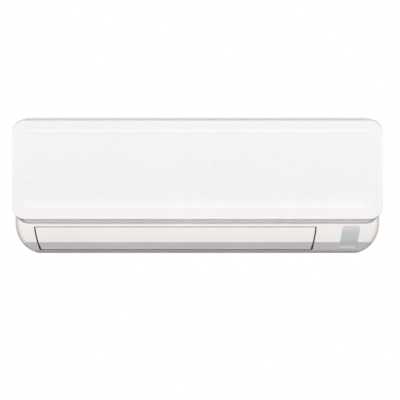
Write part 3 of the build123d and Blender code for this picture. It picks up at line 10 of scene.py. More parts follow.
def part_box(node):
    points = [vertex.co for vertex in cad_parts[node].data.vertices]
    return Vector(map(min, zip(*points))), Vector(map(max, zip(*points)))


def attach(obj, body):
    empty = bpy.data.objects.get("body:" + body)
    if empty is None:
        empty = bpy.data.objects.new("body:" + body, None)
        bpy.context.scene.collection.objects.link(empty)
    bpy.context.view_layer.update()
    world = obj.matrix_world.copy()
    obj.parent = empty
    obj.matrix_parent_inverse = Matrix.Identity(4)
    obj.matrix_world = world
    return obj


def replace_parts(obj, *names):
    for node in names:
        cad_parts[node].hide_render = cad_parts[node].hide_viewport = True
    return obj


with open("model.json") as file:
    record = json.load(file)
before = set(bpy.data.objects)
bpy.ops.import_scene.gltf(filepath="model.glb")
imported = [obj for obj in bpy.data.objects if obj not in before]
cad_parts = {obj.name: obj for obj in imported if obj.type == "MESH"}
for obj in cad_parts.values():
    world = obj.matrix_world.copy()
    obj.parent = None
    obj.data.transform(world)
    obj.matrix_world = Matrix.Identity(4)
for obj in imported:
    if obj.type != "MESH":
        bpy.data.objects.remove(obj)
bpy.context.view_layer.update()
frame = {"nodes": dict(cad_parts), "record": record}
cadNodes = frame["nodes"]
scene = bpy.context.scene
scene.view_settings.view_transform = "Standard"
print("frame loaded:", len(cadNodes), "nodes")


# colours are written as they look on screen, from 0 to 255
def tone(red, green, blue):
    linear = []
    for value in (red, green, blue):
        share = value / 255
        low = share <= 0.04045
        linear.append(share / 12.92 if low else ((share + 0.055) / 1.055) ** 2.4)
    return (*linear, 1.0)


# camera: almost square on, from a little below, the whole frame 860 mm wide at the panel's front
view = dict(
    middle=(0.0056, -0.0321),
    height=-0.13,
    frontY=-0.230,
    distance=9.0,
    frameWidth=0.8604,
    sensor=36.0,
    clipEnd=60,
)


def makeCamera():
    data = bpy.data.cameras.new("photoCamera")
    data.sensor_width = view["sensor"]
    data.lens = view["sensor"] * view["distance"] / view["frameWidth"]
    data.clip_end = view["clipEnd"]
    camera = bpy.data.objects.new("photoCamera", data)
    camera.location = (view["middle"][0], view["frontY"] - view["distance"], view["height"])
    aim = Vector((view["middle"][0], view["frontY"], view["middle"][1])) - camera.location
    camera.rotation_euler = aim.to_track_quat("-Z", "Y").to_euler()
    scene.collection.objects.link(camera)
    scene.camera = camera


makeCamera()
print("camera placed")

# lamps: where each stands, what it looks at, its size and how strong it is
lamps = dict(
    key=dict(place=(0.3, -2.2, 2.4), target=(0, -0.2, 0), size=(1.6, 0.9), power=29),
    left=dict(place=(-2.3, -3.3, 0.15), target=(0, -0.2, 0), size=(1.4, 1.4), power=34),
    right=dict(place=(2.3, -3.3, 0.15), target=(0, -0.2, 0), size=(1.4, 1.4), power=34),
    back=dict(place=(0.4, 2.6, 1.8), target=(0, 0, 0), size=(1.6, 1.2), power=30),
)


def makeLamps():
    for name, lamp in lamps.items():
        data = bpy.data.lights.new(name, "AREA")
        data.shape = "RECTANGLE"
        data.size, data.size_y = lamp["size"]
        data.energy = lamp["power"]
        light = bpy.data.objects.new(name, data)
        light.location = lamp["place"]
        aim = Vector(lamp["target"]) - Vector(lamp["place"])
        light.rotation_euler = aim.to_track_quat("-Z", "Y").to_euler()
        scene.collection.objects.link(light)


makeLamps()


# node helpers
def addNode(tree, kind, inputs=None, **settings):
    node = tree.nodes.new(kind)
    for key, value in settings.items():
        setattr(node, key, value)
    for key, value in (inputs or {}).items():
        if isinstance(value, bpy.types.NodeSocket):
            tree.links.new(value, node.inputs[key])
        else:
            node.inputs[key].default_value = value
    return node


def newFinish(name):
    finish = bpy.data.materials.new(name)
    finish.use_nodes = True
    tree = finish.node_tree
    return finish, tree, tree.nodes["Principled BSDF"]


def objectPlace(tree, stretch=(1, 1, 1)):
    place = addNode(tree, "ShaderNodeTexCoord").outputs["Object"]
    if tuple(stretch) == (1, 1, 1):
        return place
    return addNode(tree, "ShaderNodeMapping", {"Vector": place, "Scale": stretch}).outputs[0]


def noise(tree, place, scale, detail=2, rough=0.5):
    made = addNode(
        tree,
        "ShaderNodeTexNoise",
        {"Vector": place, "Scale": scale, "Detail": detail, "Roughness": rough},
    )
    return made.outputs["Fac"]


def spread(tree, value, low, high, fromLow=0.3, fromHigh=0.7):
    made = addNode(
        tree,
        "ShaderNodeMapRange",
        {"Value": value, "From Min": fromLow, "From Max": fromHigh, "To Min": low, "To Max": high},
    )
    return made.outputs["Result"]


def mixTones(tree, share, first, second):
    made = addNode(tree, "ShaderNodeMix", data_type="RGBA")
    for socket, value in ((made.inputs[0], share), (made.inputs[6], first), (made.inputs[7], second)):
        if isinstance(value, bpy.types.NodeSocket):
            tree.links.new(value, socket)
        else:
            socket.default_value = value
    return made.outputs[2]


def reliefNormal(tree, height, strength, distance):
    made = addNode(
        tree,
        "ShaderNodeBump",
        {"Height": height, "Strength": strength, "Distance": distance},
    )
    return made.outputs["Normal"]


def connect(tree, shader, **sockets):
    names = dict(colour="Base Color", rough="Roughness", normal="Normal", alpha="Alpha")
    for key, value in sockets.items():
        tree.links.new(value, shader.inputs[names[key]])


# moulded plastics: colour, the tone it drifts to, roughness range, grain scale and depth
plastics = dict(
    casing=dict(
        colour=tone(241, 238, 236), drift=tone(237, 233, 231),
        rough=(0.30, 0.38), grain=1600, depth=0.00002,
    ),
    panel=dict(
        colour=tone(234, 232, 233), drift=tone(233, 231, 232),
        rough=(0.27, 0.31), grain=2200, depth=0.000008,
    ),
    flap=dict(
        colour=tone(241, 238, 237), drift=tone(238, 234, 232),
        rough=(0.28, 0.36), grain=1600, depth=0.00002,
    ),
    outlet=dict(
        colour=tone(232, 231, 228), drift=tone(226, 225, 221),
        rough=(0.48, 0.60), grain=1100, depth=0.00004,
    ),
    base=dict(
        colour=tone(226, 225, 221), drift=tone(218, 217, 212),
        rough=(0.50, 0.64), grain=900, depth=0.00005,
    ),
    vane=dict(
        colour=tone(66, 68, 70), drift=tone(57, 59, 61),
        rough=(0.46, 0.60), grain=1200, depth=0.00004,
    ),
    fan=dict(
        colour=tone(52, 54, 57), drift=tone(43, 45, 48),
        rough=(0.42, 0.58), grain=1500, depth=0.00004,
    ),
    electric_box=dict(
        colour=tone(224, 223, 216), drift=tone(215, 214, 206),
        rough=(0.46, 0.60), grain=1000, depth=0.00005,
    ),
    terminal=dict(
        colour=tone(38, 38, 40), drift=tone(31, 31, 33),
        rough=(0.42, 0.58), grain=1300, depth=0.00004,
    ),
    filter_frame=dict(
        colour=tone(150, 160, 166), drift=tone(141, 151, 158),
        rough=(0.42, 0.54), grain=1300, depth=0.00003,
    ),
    # trim: the grey of the strip behind the panel's top edge, a painted shade standing in for the shadow
    # there
    trim=dict(
        colour=tone(233, 233, 234), drift=tone(229, 229, 231),
        rough=(0.55, 0.65), grain=1300, depth=0.00003,
    ),
    rubber=dict(
        colour=tone(30, 30, 31), drift=tone(38, 38, 38),
        rough=(0.74, 0.88), grain=700, depth=0.00006,
    ),
)


def mouldedPlastic(name, look):
    finish, tree, shader = newFinish(name)
    place = objectPlace(tree)
    drift = spread(tree, noise(tree, place, 9, 4), 0, 1)
    colour = mixTones(tree, drift, look["colour"], look["drift"])
    rough = spread(tree, noise(tree, place, 60, 4, 0.6), *look["rough"])
    grain = noise(tree, place, look["grain"], 3, 0.65)
    relief = reliefNormal(tree, grain, 0.35, look["depth"])
    connect(tree, shader, colour=colour, rough=rough, normal=relief)
    shader.inputs["IOR"].default_value = 1.49
    return finish


# metals: colour, tarnish, roughness range, and the direction the surface was drawn in
metals = dict(
    copper=dict(
        colour=tone(214, 142, 108), tarnish=tone(176, 104, 74),
        rough=(0.20, 0.38), drawn=(0.2, 6, 6),
    ),
    brass=dict(
        colour=tone(214, 184, 116), tarnish=tone(190, 156, 90),
        rough=(0.18, 0.32), drawn=(8, 0.4, 0.4),
    ),
    steel=dict(
        colour=tone(196, 198, 200), tarnish=tone(176, 178, 181),
        rough=(0.22, 0.38), drawn=(1, 1, 1),
    ),
    coil_plate=dict(
        colour=tone(188, 191, 193), tarnish=tone(170, 174, 177),
        rough=(0.26, 0.42), drawn=(1, 1, 1),
    ),
    fins=dict(
        colour=tone(206, 210, 213), tarnish=tone(188, 193, 197),
        rough=(0.30, 0.44), drawn=(1, 1, 0.1),
    ),
    small_motor=dict(
        colour=tone(190, 192, 194), tarnish=tone(172, 175, 178),
        rough=(0.24, 0.36), drawn=(1, 1, 6),
    ),
)


def drawnMetal(name, look):
    finish, tree, shader = newFinish(name)
    place = objectPlace(tree, look["drawn"])
    patches = spread(tree, noise(tree, objectPlace(tree), 24, 5, 0.62), 0, 1, 0.35, 0.72)
    colour = mixTones(tree, patches, look["colour"], look["tarnish"])
    streaks = noise(tree, place, 420, 3, 0.6)
    rough = spread(tree, streaks, *look["rough"])
    relief = reliefNormal(tree, streaks, 0.3, 0.00003)
    connect(tree, shader, colour=colour, rough=rough, normal=relief)
    shader.inputs["Metallic"].default_value = 1.0
    return finish


# galvanised sheet: crystals of zinc that differ a little in tone and gloss
def galvanisedSheet(name):
    finish, tree, shader = newFinish(name)
    place = objectPlace(tree)
    wobble = addNode(tree, "ShaderNodeTexNoise", {"Vector": place, "Scale": 70.0, "Detail": 3.0})
    shifted = addNode(
        tree,
        "ShaderNodeVectorMath",
        {0: wobble.outputs["Color"], 1: (0.012, 0.012, 0.012)},
        operation="MULTIPLY",
    )
    moved = addNode(tree, "ShaderNodeVectorMath", {0: place, 1: shifted.outputs[0]}, operation="ADD")
    crystals = addNode(tree, "ShaderNodeTexVoronoi", {"Vector": moved.outputs[0], "Scale": 110.0})
    share = addNode(tree, "ShaderNodeSeparateColor", {"Color": crystals.outputs["Color"]}).outputs[0]
    colour = mixTones(tree, share, tone(176, 181, 184), tone(205, 208, 210))
    rough = spread(tree, share, 0.30, 0.48, 0, 1)
    fine = noise(tree, place, 900, 3)
    relief = reliefNormal(tree, fine, 0.25, 0.00004)
    connect(tree, shader, colour=colour, rough=rough, normal=relief)
    shader.inputs["Metallic"].default_value = 0.9
    return finish


# resin motor shell: dark and slightly speckled
def resinShell(name):
    finish, tree, shader = newFinish(name)
    place = objectPlace(tree)
    specks = spread(tree, noise(tree, place, 520, 2, 0.8), 0, 1, 0.55, 0.68)
    colour = mixTones(tree, specks, tone(58, 58, 60), tone(88, 88, 90))
    rough = spread(tree, noise(tree, place, 90, 4), 0.38, 0.56)
    relief = reliefNormal(tree, noise(tree, place, 700, 3), 0.4, 0.00006)
    connect(tree, shader, colour=colour, rough=rough, normal=relief)
    return finish


# circuit board: green lacquer over copper tracks
def lacqueredBoard(name):
    finish, tree, shader = newFinish(name)
    place = objectPlace(tree)
    tracks = addNode(
        tree,
        "ShaderNodeTexBrick",
        {
            "Vector": place,
            "Scale": 1.0,
            "Mortar Size": 0.0005,
            "Brick Width": 0.011,
            "Row Height": 0.0042,
            "Color1": tone(34, 96, 60),
            "Color2": tone(40, 108, 68),
            "Mortar": tone(66, 136, 88),
        },
    )
    lacquer = spread(tree, noise(tree, place, 40, 3), 0.16, 0.28)
    shade = spread(tree, noise(tree, place, 30, 3), 0, 0.4)
    colour = mixTones(tree, shade, tracks.outputs["Color"], tone(26, 78, 48))
    connect(tree, shader, colour=colour, rough=lacquer)
    shader.inputs["Coat Weight"].default_value = 0.4
    return finish


# filter net: woven plastic thread
def wovenThread(name):
    finish, tree, shader = newFinish(name)
    place = objectPlace(tree)
    colour = mixTones(
        tree, spread(tree, noise(tree, place, 35, 4), 0, 1), tone(92, 102, 108), tone(74, 84, 91)
    )
    rough = spread(tree, noise(tree, place, 400, 3), 0.5, 0.72)
    relief = reliefNormal(tree, noise(tree, place, 1800, 2), 0.4, 0.00004)
    connect(tree, shader, colour=colour, rough=rough, normal=relief)
    return finish


# display window: smoked, its tone set by height with painted shade: darkest under the crease, lighter
# towards its top, with a light strip along its foot
lensShadeByHeight = dict(
    low=-0.1388,
    high=-0.0885,
    foot=tone(238, 235, 233),
    top=tone(220, 210, 212),
    stops=(
        (0.10, tone(238, 236, 234)),
        (0.165, tone(226, 227, 228)),
        (0.175, tone(192, 197, 201)),
        (0.30, tone(181, 190, 196)),
        (0.34, tone(182, 190, 196)),
        (0.36, tone(182, 188, 192)),
        (0.46, tone(192, 196, 199)),
        (0.74, tone(193, 197, 200)),
        (0.86, tone(206, 208, 205)),
        (0.93, tone(215, 212, 210)),
    ),
)


def smokedWindowPaintedShade(name):
    finish, tree, shader = newFinish(name)
    place = objectPlace(tree)
    height = addNode(tree, "ShaderNodeSeparateXYZ", {"Vector": place}).outputs["Z"]
    share = spread(tree, height, 0, 1, lensShadeByHeight["low"], lensShadeByHeight["high"])
    # painted shade: the ramp darkens the pane by height, most of all just under the crease
    ramp = addNode(tree, "ShaderNodeValToRGB", {"Fac": share})
    stops = ramp.color_ramp.elements
    stops[0].position, stops[0].color = 0.0, lensShadeByHeight["foot"]
    stops[1].position, stops[1].color = 1.0, lensShadeByHeight["top"]
    for where, colour in lensShadeByHeight["stops"]:
        stop = stops.new(where)
        stop.color = colour
    rough = spread(tree, noise(tree, place, 80, 3), 0.10, 0.16)
    connect(tree, shader, colour=ramp.outputs["Color"], rough=rough)
    shader.inputs["Coat Weight"].default_value = 0.3
    return finish


def makeFinishes():
    made = {name: mouldedPlastic(name, look) for name, look in plastics.items()}
    made.update({name: drawnMetal(name, look) for name, look in metals.items()})
    made["galvanised"] = galvanisedSheet("galvanised")
    made["motor"] = resinShell("motor")
    made["circuit_board"] = lacqueredBoard("circuit_board")
    made["filter_mesh"] = wovenThread("filter_mesh")
    made["display"] = smokedWindowPaintedShade("display")
    return made


finishes = makeFinishes()
for part in frame["record"]["subparts"]:
    mesh = cadNodes[part["node"]].data
    mesh.materials.clear()
    mesh.materials.append(finishes[part["material_slot"]])
print("finishes made:", len(finishes))


# mesh helpers; points nearer than this count as one
nearness = dict(merge=0.00001, cut=0.000001)


def toMesh(name, bm):
    mesh = bpy.data.meshes.new(name)
    bm.to_mesh(mesh)
    bm.free()
    return mesh


def mergedCopy(node):
    bm = bmesh.new()
    bm.from_mesh(cadNodes[node].data)
    bmesh.ops.remove_doubles(bm, verts=bm.verts, dist=nearness["merge"])
    return bm


def onlyVerts(items):
    return [item for item in items if isinstance(item, bmesh.types.BMVert)]


def onlyFaces(items):
    return [item for item in items if isinstance(item, bmesh.types.BMFace)]


# cuts the faces given, or the whole mesh, along a plane
def cutAlong(bm, place, direction, faces=None, clear=False):
    if faces is None:
        geom = list(bm.verts) + list(bm.edges) + list(bm.faces)
    else:
        geom = faces + list({e for f in faces for e in f.edges}) + list({v for f in faces for v in f.verts})
    bmesh.ops.bisect_plane(
        bm, geom=geom, dist=nearness["cut"], plane_co=place, plane_no=direction, clear_outer=clear
    )


# piece helpers
def newPiece(name, bm, finish, body, smoothAngle=35):
    bmesh.ops.recalc_face_normals(bm, faces=bm.faces)
    return finishPiece(name, toMesh(name, bm), finish, body, smoothAngle)


def finishPiece(name, mesh, finish, body, smoothAngle=35):
    mesh.materials.clear()
    mesh.materials.append(finishes[finish])
    mesh.polygons.foreach_set("use_smooth", [True] * len(mesh.polygons))
    mesh.set_sharp_from_angle(angle=math.radians(smoothAngle))
    piece = bpy.data.objects.new(name, mesh)
    scene.collection.objects.link(piece)
    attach(piece, body)
    return piece


def addBevel(piece, width, segments=2, angle=40):
    bevel = piece.modifiers.new("softEdges", "BEVEL")
    bevel.width, bevel.segments = width, segments
    bevel.limit_method, bevel.angle_limit = "ANGLE", math.radians(angle)
    bevel.use_clamp_overlap = True
    bevel.harden_normals = False
    weights = piece.modifiers.new("evenShading", "WEIGHTED_NORMAL")
    weights.keep_sharp = True


# repeats a piece along X
def addRow(piece, pitch, count):
    row = piece.modifiers.new("row", "ARRAY")
    row.use_relative_offset, row.use_constant_offset = False, True
    row.constant_offset_displace = (pitch, 0, 0)
    row.count = count


# a merged copy of a CAD mesh, flat faces joined up, with its sharp edges softened
def softCopy(node, name, width, finish, body, narrow=0, angle=40):
    bm = mergedCopy(node)
    low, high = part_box(node)
    middle = (low.x + high.x) / 2
    for vert in bm.verts:
        vert.co.x = middle + (vert.co.x - middle) * (1 - narrow / (high.x - low.x))
    bmesh.ops.dissolve_limit(
        bm, angle_limit=math.radians(0.5), verts=bm.verts, edges=bm.edges, use_dissolve_boundaries=False
    )
    piece = finishPiece(name, toMesh(name, bm), finish, body)
    addBevel(piece, width, 2, angle)
    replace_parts(piece, node)
    return piece


softShells = dict(
    front_casing=dict(name="casingShell", width=0.0007, finish="casing", body="chassis", narrow=0),
    flap=dict(name="flapBlade", width=0.0006, finish="flap", body="flap", narrow=0.0020),
)
for node, look in softShells.items():
    softCopy(
        node, look["name"], look["width"], look["finish"], look["body"], look["narrow"]
    )
print("shells softened")


# front panel: a thin slab whose middle lies a little below its low border
panel = dict(
    cornerRadius=0.028,
    cornerSteps=64,
    edgeRound=0.0014,
    edgeSteps=4,
    beadWidth=0.0022,
    beadSteps=4,
    beadHeight=0.00045,
    border=0.0225,
    crease=0.0012,
    dish=0.0030,
    topSetback=0.0033,
    lowRamp=0.028,
    sideRamp=0.020,
    topRamp=0.003,
    rampSteps=9,
    skin=0.0050,
    backing=0.0012,
    ribLap=0.0002,
    margin=0.0001,
)


# steepest at its start, level at its end
def easeOut(value):
    value = min(max(value, 0.0), 1.0)
    return 1 - (1 - value) ** 2


def roundedOutline(low, high, radius, steps):
    bm = bmesh.new()
    bmesh.ops.create_circle(bm, cap_ends=True, segments=steps, radius=radius)
    bmesh.ops.rotate(bm, verts=bm.verts, matrix=Matrix.Rotation(math.pi / steps, 3, "Z"))
    bmesh.ops.rotate(bm, verts=bm.verts, matrix=Matrix.Rotation(math.radians(90), 3, "X"))
    for vert in bm.verts:
        vert.co.x += high.x - radius if vert.co.x > 0 else low.x + radius
        vert.co.z += high.z - radius if vert.co.z > 0 else low.z + radius
    return bm


def panelDepth(x, z, low, high):
    inner = panel["border"] + panel["crease"]
    span = high.z - low.z
    fromEdge = min(x - low.x, high.x - x, z - low.z, high.z - z)
    onBead = 1 - easeOut((fromEdge - panel["edgeRound"]) / panel["beadWidth"])
    borderBack = panel["topSetback"] * (z - low.z) / span + panel["beadHeight"] * (1 - onBead)
    fromSide = min(x - low.x, high.x - x) - inner
    fromFoot = z - low.z - inner
    fromTop = high.z - z - inner
    ramp = easeOut(fromSide / panel["sideRamp"]) * easeOut(fromFoot / panel["lowRamp"])
    ramp *= easeOut(fromTop / panel["topRamp"])
    return borderBack + (panel["dish"] - borderBack) * ramp


# the level field inside the crease, which the ramps are cut into
def panelField(bm, front, low, high):
    inner = panel["border"] + panel["crease"]
    found = []
    for face in bm.faces:
        middle = face.calc_center_median()
        across = abs(middle.x) < high.x - inner - panel["margin"]
        if across and low.z + inner < middle.z < high.z - inner and middle.y < front + panel["margin"]:
            found.append(face)
    return found


def makePanelFace(low, high, front, back):
    bm = roundedOutline(low, high, panel["cornerRadius"], panel["cornerSteps"])
    bmesh.ops.translate(bm, verts=bm.verts, vec=(0, back, 0))
    grown = bmesh.ops.extrude_face_region(bm, geom=list(bm.faces)[:1])
    for vert in onlyVerts(grown["geom"]):
        vert.co.y = min(front + panel["edgeRound"], back - panel["margin"])
    top = onlyFaces(grown["geom"])[0]
    lastIn, lastOut = 0.0, 0.0
    for i in range(1, panel["edgeSteps"] + 1):
        turn = math.radians(90) * i / panel["edgeSteps"]
        goIn = panel["edgeRound"] * (1 - math.cos(turn))
        goOut = panel["edgeRound"] * math.sin(turn)
        bmesh.ops.inset_region(
            bm, faces=[top], thickness=goIn - lastIn, depth=goOut - lastOut, use_even_offset=True
        )
        lastIn, lastOut = goIn, goOut
    beadStep = panel["beadWidth"] / panel["beadSteps"]
    flat = panel["border"] - panel["edgeRound"] - panel["beadWidth"]
    for thickness in [beadStep] * panel["beadSteps"] + [flat, panel["crease"]]:
        bmesh.ops.inset_region(bm, faces=[top], thickness=thickness, use_even_offset=True)
    inner = panel["border"] + panel["crease"]
    cuts = []
    for i in range(1, panel["rampSteps"] + 1):
        share = i / panel["rampSteps"]
        cuts.append(((0, 0, low.z + inner + panel["lowRamp"] * share), (0, 0, 1)))
        cuts.append(((low.x + inner + panel["sideRamp"] * share, 0, 0), (1, 0, 0)))
        cuts.append(((high.x - inner - panel["sideRamp"] * share, 0, 0), (1, 0, 0)))
        cuts.append(((0, 0, high.z - inner - panel["topRamp"] * share), (0, 0, 1)))
    for place, direction in cuts:
        cutAlong(bm, place, direction, panelField(bm, front, low, high))
    for vert in bm.verts:
        if vert.co.y < front + panel["edgeRound"] - panel["margin"]:
            vert.co.y += panelDepth(vert.co.x, vert.co.z, low, high) * (
                1 - (vert.co.y - front) / panel["edgeRound"]
            )
    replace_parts(newPiece("panelFace", bm, "panel", "front_panel", 30), "front_panel")


# ribs, rim and hinge arms behind that face, cut from the CAD panel
def makePanelRibs(back):
    bm = mergedCopy("front_panel")
    cutAlong(bm, (0, back - panel["ribLap"], 0), (0, -1, 0), clear=True)
    bmesh.ops.holes_fill(bm, edges=[e for e in bm.edges if e.is_boundary], sides=0)
    finishPiece("panelRibs", toMesh("panelRibs", bm), "panel", "front_panel")


def makePanel():
    low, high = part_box("front_panel")
    back = low.y + panel["skin"] + panel["backing"]
    makePanelFace(low, high, low.y, back)
    makePanelRibs(back)


makePanel()
print("panel made")


# grey strip that follows the casing's top behind the panel's upper edge and corners: painted shade,
# standing in for the shadow along that edge
topShadeStrip = dict(
    half=0.4008,
    reach=0.3862,
    low=0.1285,
    high=0.14585,
    cornerRadius=0.039,
    cornerSteps=96,
    width=0.0068,
    front=-0.1992,
    depth=0.0034,
    round=0.0006,
)


def makeTopShadeStrip():
    high = Vector((topShadeStrip["half"], 0, topShadeStrip["high"]))
    low = Vector((-topShadeStrip["half"], 0, -topShadeStrip["high"]))
    bm = roundedOutline(low, high, topShadeStrip["cornerRadius"], topShadeStrip["cornerSteps"])
    bmesh.ops.translate(bm, verts=bm.verts, vec=(0, topShadeStrip["front"] + topShadeStrip["depth"], 0))
    inner = list(bm.faces)[0]
    bmesh.ops.inset_region(
        bm, faces=[inner], thickness=topShadeStrip["width"], use_boundary=True, use_even_offset=True
    )
    bmesh.ops.delete(bm, geom=[inner], context="FACES")
    for place, direction in (
        ((0, 0, topShadeStrip["low"]), (0, 0, -1)),
        ((topShadeStrip["reach"], 0, 0), (1, 0, 0)),
        ((-topShadeStrip["reach"], 0, 0), (-1, 0, 0)),
    ):
        cutAlong(bm, place, direction, clear=True)
    bmesh.ops.dissolve_limit(bm, angle_limit=math.radians(0.1), verts=bm.verts, edges=bm.edges)
    grown = bmesh.ops.extrude_face_region(bm, geom=list(bm.faces), use_keep_orig=True)
    bmesh.ops.translate(bm, verts=onlyVerts(grown["geom"]), vec=(0, -topShadeStrip["depth"], 0))
    piece = newPiece("topShadeStrip", bm, "trim", "chassis")
    addBevel(piece, topShadeStrip["round"], 2)


makeTopShadeStrip()


# display lens: a slanted pane with rounded corners, laid on the casing's front
lens = dict(
    topLeft=(0.3133, -0.0884),
    topRight=(0.3508, -0.0884),
    footLeft=(0.3062, -0.1302),
    footRight=(0.3446, -0.1302),
    round=0.0030,
    cornerSteps=32,
    proud=0.00025,
    thickness=0.0012,
    edge=0.0003,
    cutsAcross=6,
    cutsUp=16,
    castFrom=-0.4,
    smoothing=0.3,
)


def makeLens():
    faces = [BVHTree.FromObject(bpy.data.objects["casingShell"], bpy.context.evaluated_depsgraph_get())]
    window = bmesh.new()
    window.from_mesh(cadNodes["display_window"].data)
    faces.append(BVHTree.FromBMesh(window))
    window.free()
    left, top = lens["topLeft"]
    low = Vector((left, 0, lens["footLeft"][1]))
    high = Vector((lens["topRight"][0], 0, top))
    bm = roundedOutline(low, high, lens["round"], lens["cornerSteps"])
    for count, first, last, axis in (
        (lens["cutsAcross"], low.x, high.x, 0),
        (lens["cutsUp"], low.z, high.z, 2),
    ):
        for i in range(1, count):
            place = [0, 0, 0]
            place[axis] = first + (last - first) * i / count
            direction = [0, 0, 0]
            direction[axis] = 1
            cutAlong(bm, place, direction)
    for vert in bm.verts:
        across, down = (vert.co.x - low.x) / (high.x - low.x), (high.z - vert.co.z) / (high.z - low.z)
        leanLeft, leanRight = lens["footLeft"][0] - low.x, lens["footRight"][0] - high.x
        vert.co.x += down * (leanLeft + (leanRight - leanLeft) * across)
        start = Vector((vert.co.x, lens["castFrom"], vert.co.z))
        hits = [tree.ray_cast(start, Vector((0, 1, 0)))[0] for tree in faces]
        vert.co.y = min(hit.y for hit in hits if hit) - lens["proud"]
    inside = [v for v in bm.verts if not v.is_boundary]
    bmesh.ops.smooth_vert(bm, verts=inside, factor=lens["smoothing"], use_axis_y=True)
    piece = finishPiece("displayLens", toMesh("displayLens", bm), "display", "chassis")
    wall = piece.modifiers.new("pane", "SOLIDIFY")
    wall.thickness, wall.offset = lens["thickness"], -1
    addBevel(piece, lens["edge"], 2)


makeLens()
print("trim and lens made")


# dark foam strip under the outlet's floor, which closes the slot behind the flap's foot: painted shade, a
# dark sheet standing in for the shadow in that slot
slotShadeFoam = dict(half=0.345, front=-0.160, back=-0.150, low=-0.1435, high=-0.1335, round=0.0015, steps=3)


def makeSlotShadeFoam():
    bm = bmesh.new()
    size = (2 * slotShadeFoam["half"], slotShadeFoam["back"] - slotShadeFoam["front"], slotShadeFoam["high"] - slotShadeFoam["low"])
    middle = (0, (slotShadeFoam["back"] + slotShadeFoam["front"]) / 2, (slotShadeFoam["high"] + slotShadeFoam["low"]) / 2)
    bmesh.ops.create_cube(bm, size=1, matrix=Matrix.Translation(middle) @ Matrix.Diagonal((*size, 1)))
    bmesh.ops.bevel(
        bm,
        geom=list(bm.edges),
        offset=slotShadeFoam["round"],
        segments=slotShadeFoam["steps"],
        profile=0.5,
        affect="EDGES",
        material=-1,
    )
    newPiece("slotShadeFoamStrip", bm, "rubber", "chassis")


makeSlotShadeFoam()


# coil: each block's pressed fins, one thin plate repeated along the tubes
coilBlocks = dict(evaporator_front_lower=90.0, evaporator_front_upper=40.0, evaporator_rear=-47.2)
fins = dict(pitch=0.0016, thickness=0.00014, ripple=0.0003, ripples=5, margin=0.0004)


def makeFins():
    for node, angle in coilBlocks.items():
        low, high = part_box(node)
        turn = math.radians(angle)
        along = Vector((0, math.cos(turn), math.sin(turn)))
        outward = Vector((0, -math.sin(turn), math.cos(turn)))
        points = [v.co for v in cadNodes[node].data.vertices]
        runs = [p.dot(along) for p in points]
        lifts = [p.dot(outward) for p in points]
        middle = along * (min(runs) + max(runs)) / 2 + outward * (min(lifts) + max(lifts)) / 2
        length, depth = max(runs) - min(runs), max(lifts) - min(lifts)
        bm = bmesh.new()
        bmesh.ops.create_grid(bm, x_segments=1, y_segments=fins["ripples"] * 2, size=0.5)
        bmesh.ops.scale(bm, verts=bm.verts, vec=(length, depth, 1))
        for vert in bm.verts:
            step = round((vert.co.y / depth + 0.5) * fins["ripples"] * 2)
            vert.co.z += fins["ripple"] * (step % 2)
        toBlock = Matrix((along, outward, Vector((1, 0, 0)))).transposed()
        bmesh.ops.rotate(bm, verts=bm.verts, matrix=toBlock)
        bmesh.ops.translate(bm, verts=bm.verts, vec=middle + Vector((low.x + fins["margin"], 0, 0)))
        name = "fins" + node.replace("evaporator", "").title().replace("_", "")
        piece = finishPiece(name, toMesh(name, bm), "fins", "chassis")
        wall = piece.modifiers.new("sheet", "SOLIDIFY")
        wall.thickness, wall.offset = fins["thickness"], 0
        addRow(piece, fins["pitch"], int((high.x - low.x - 2 * fins["margin"]) / fins["pitch"]))
        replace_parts(piece, node)


makeFins()
print("fins made")


# air filters: a woven net that follows the frame's bend
net = dict(
    midY=-0.2046,
    cornerZ=0.06703,
    slope=40.0,
    slopeLength=0.090,
    bend=0.012,
    bendSteps=5,
    thread=0.00022,
    levelWidth=1.5,
    pitch=0.0024,
    trim=0.003,
)


def netPath():
    # the bend's start, centre and turn, then the slope's direction, start and length
    lean = math.radians(90 - net["slope"])
    cut = net["bend"] * math.tan(lean / 2)
    bendStart = Vector((0, net["midY"], net["cornerZ"] - cut))
    centre = bendStart + Vector((0, net["bend"], 0))
    along = Vector((0, math.cos(math.radians(net["slope"])), math.sin(math.radians(net["slope"]))))
    slopeStart = Vector((0, net["midY"], net["cornerZ"])) + along * cut
    return bendStart, centre, lean, along, slopeStart, net["slopeLength"] - cut - net["trim"]


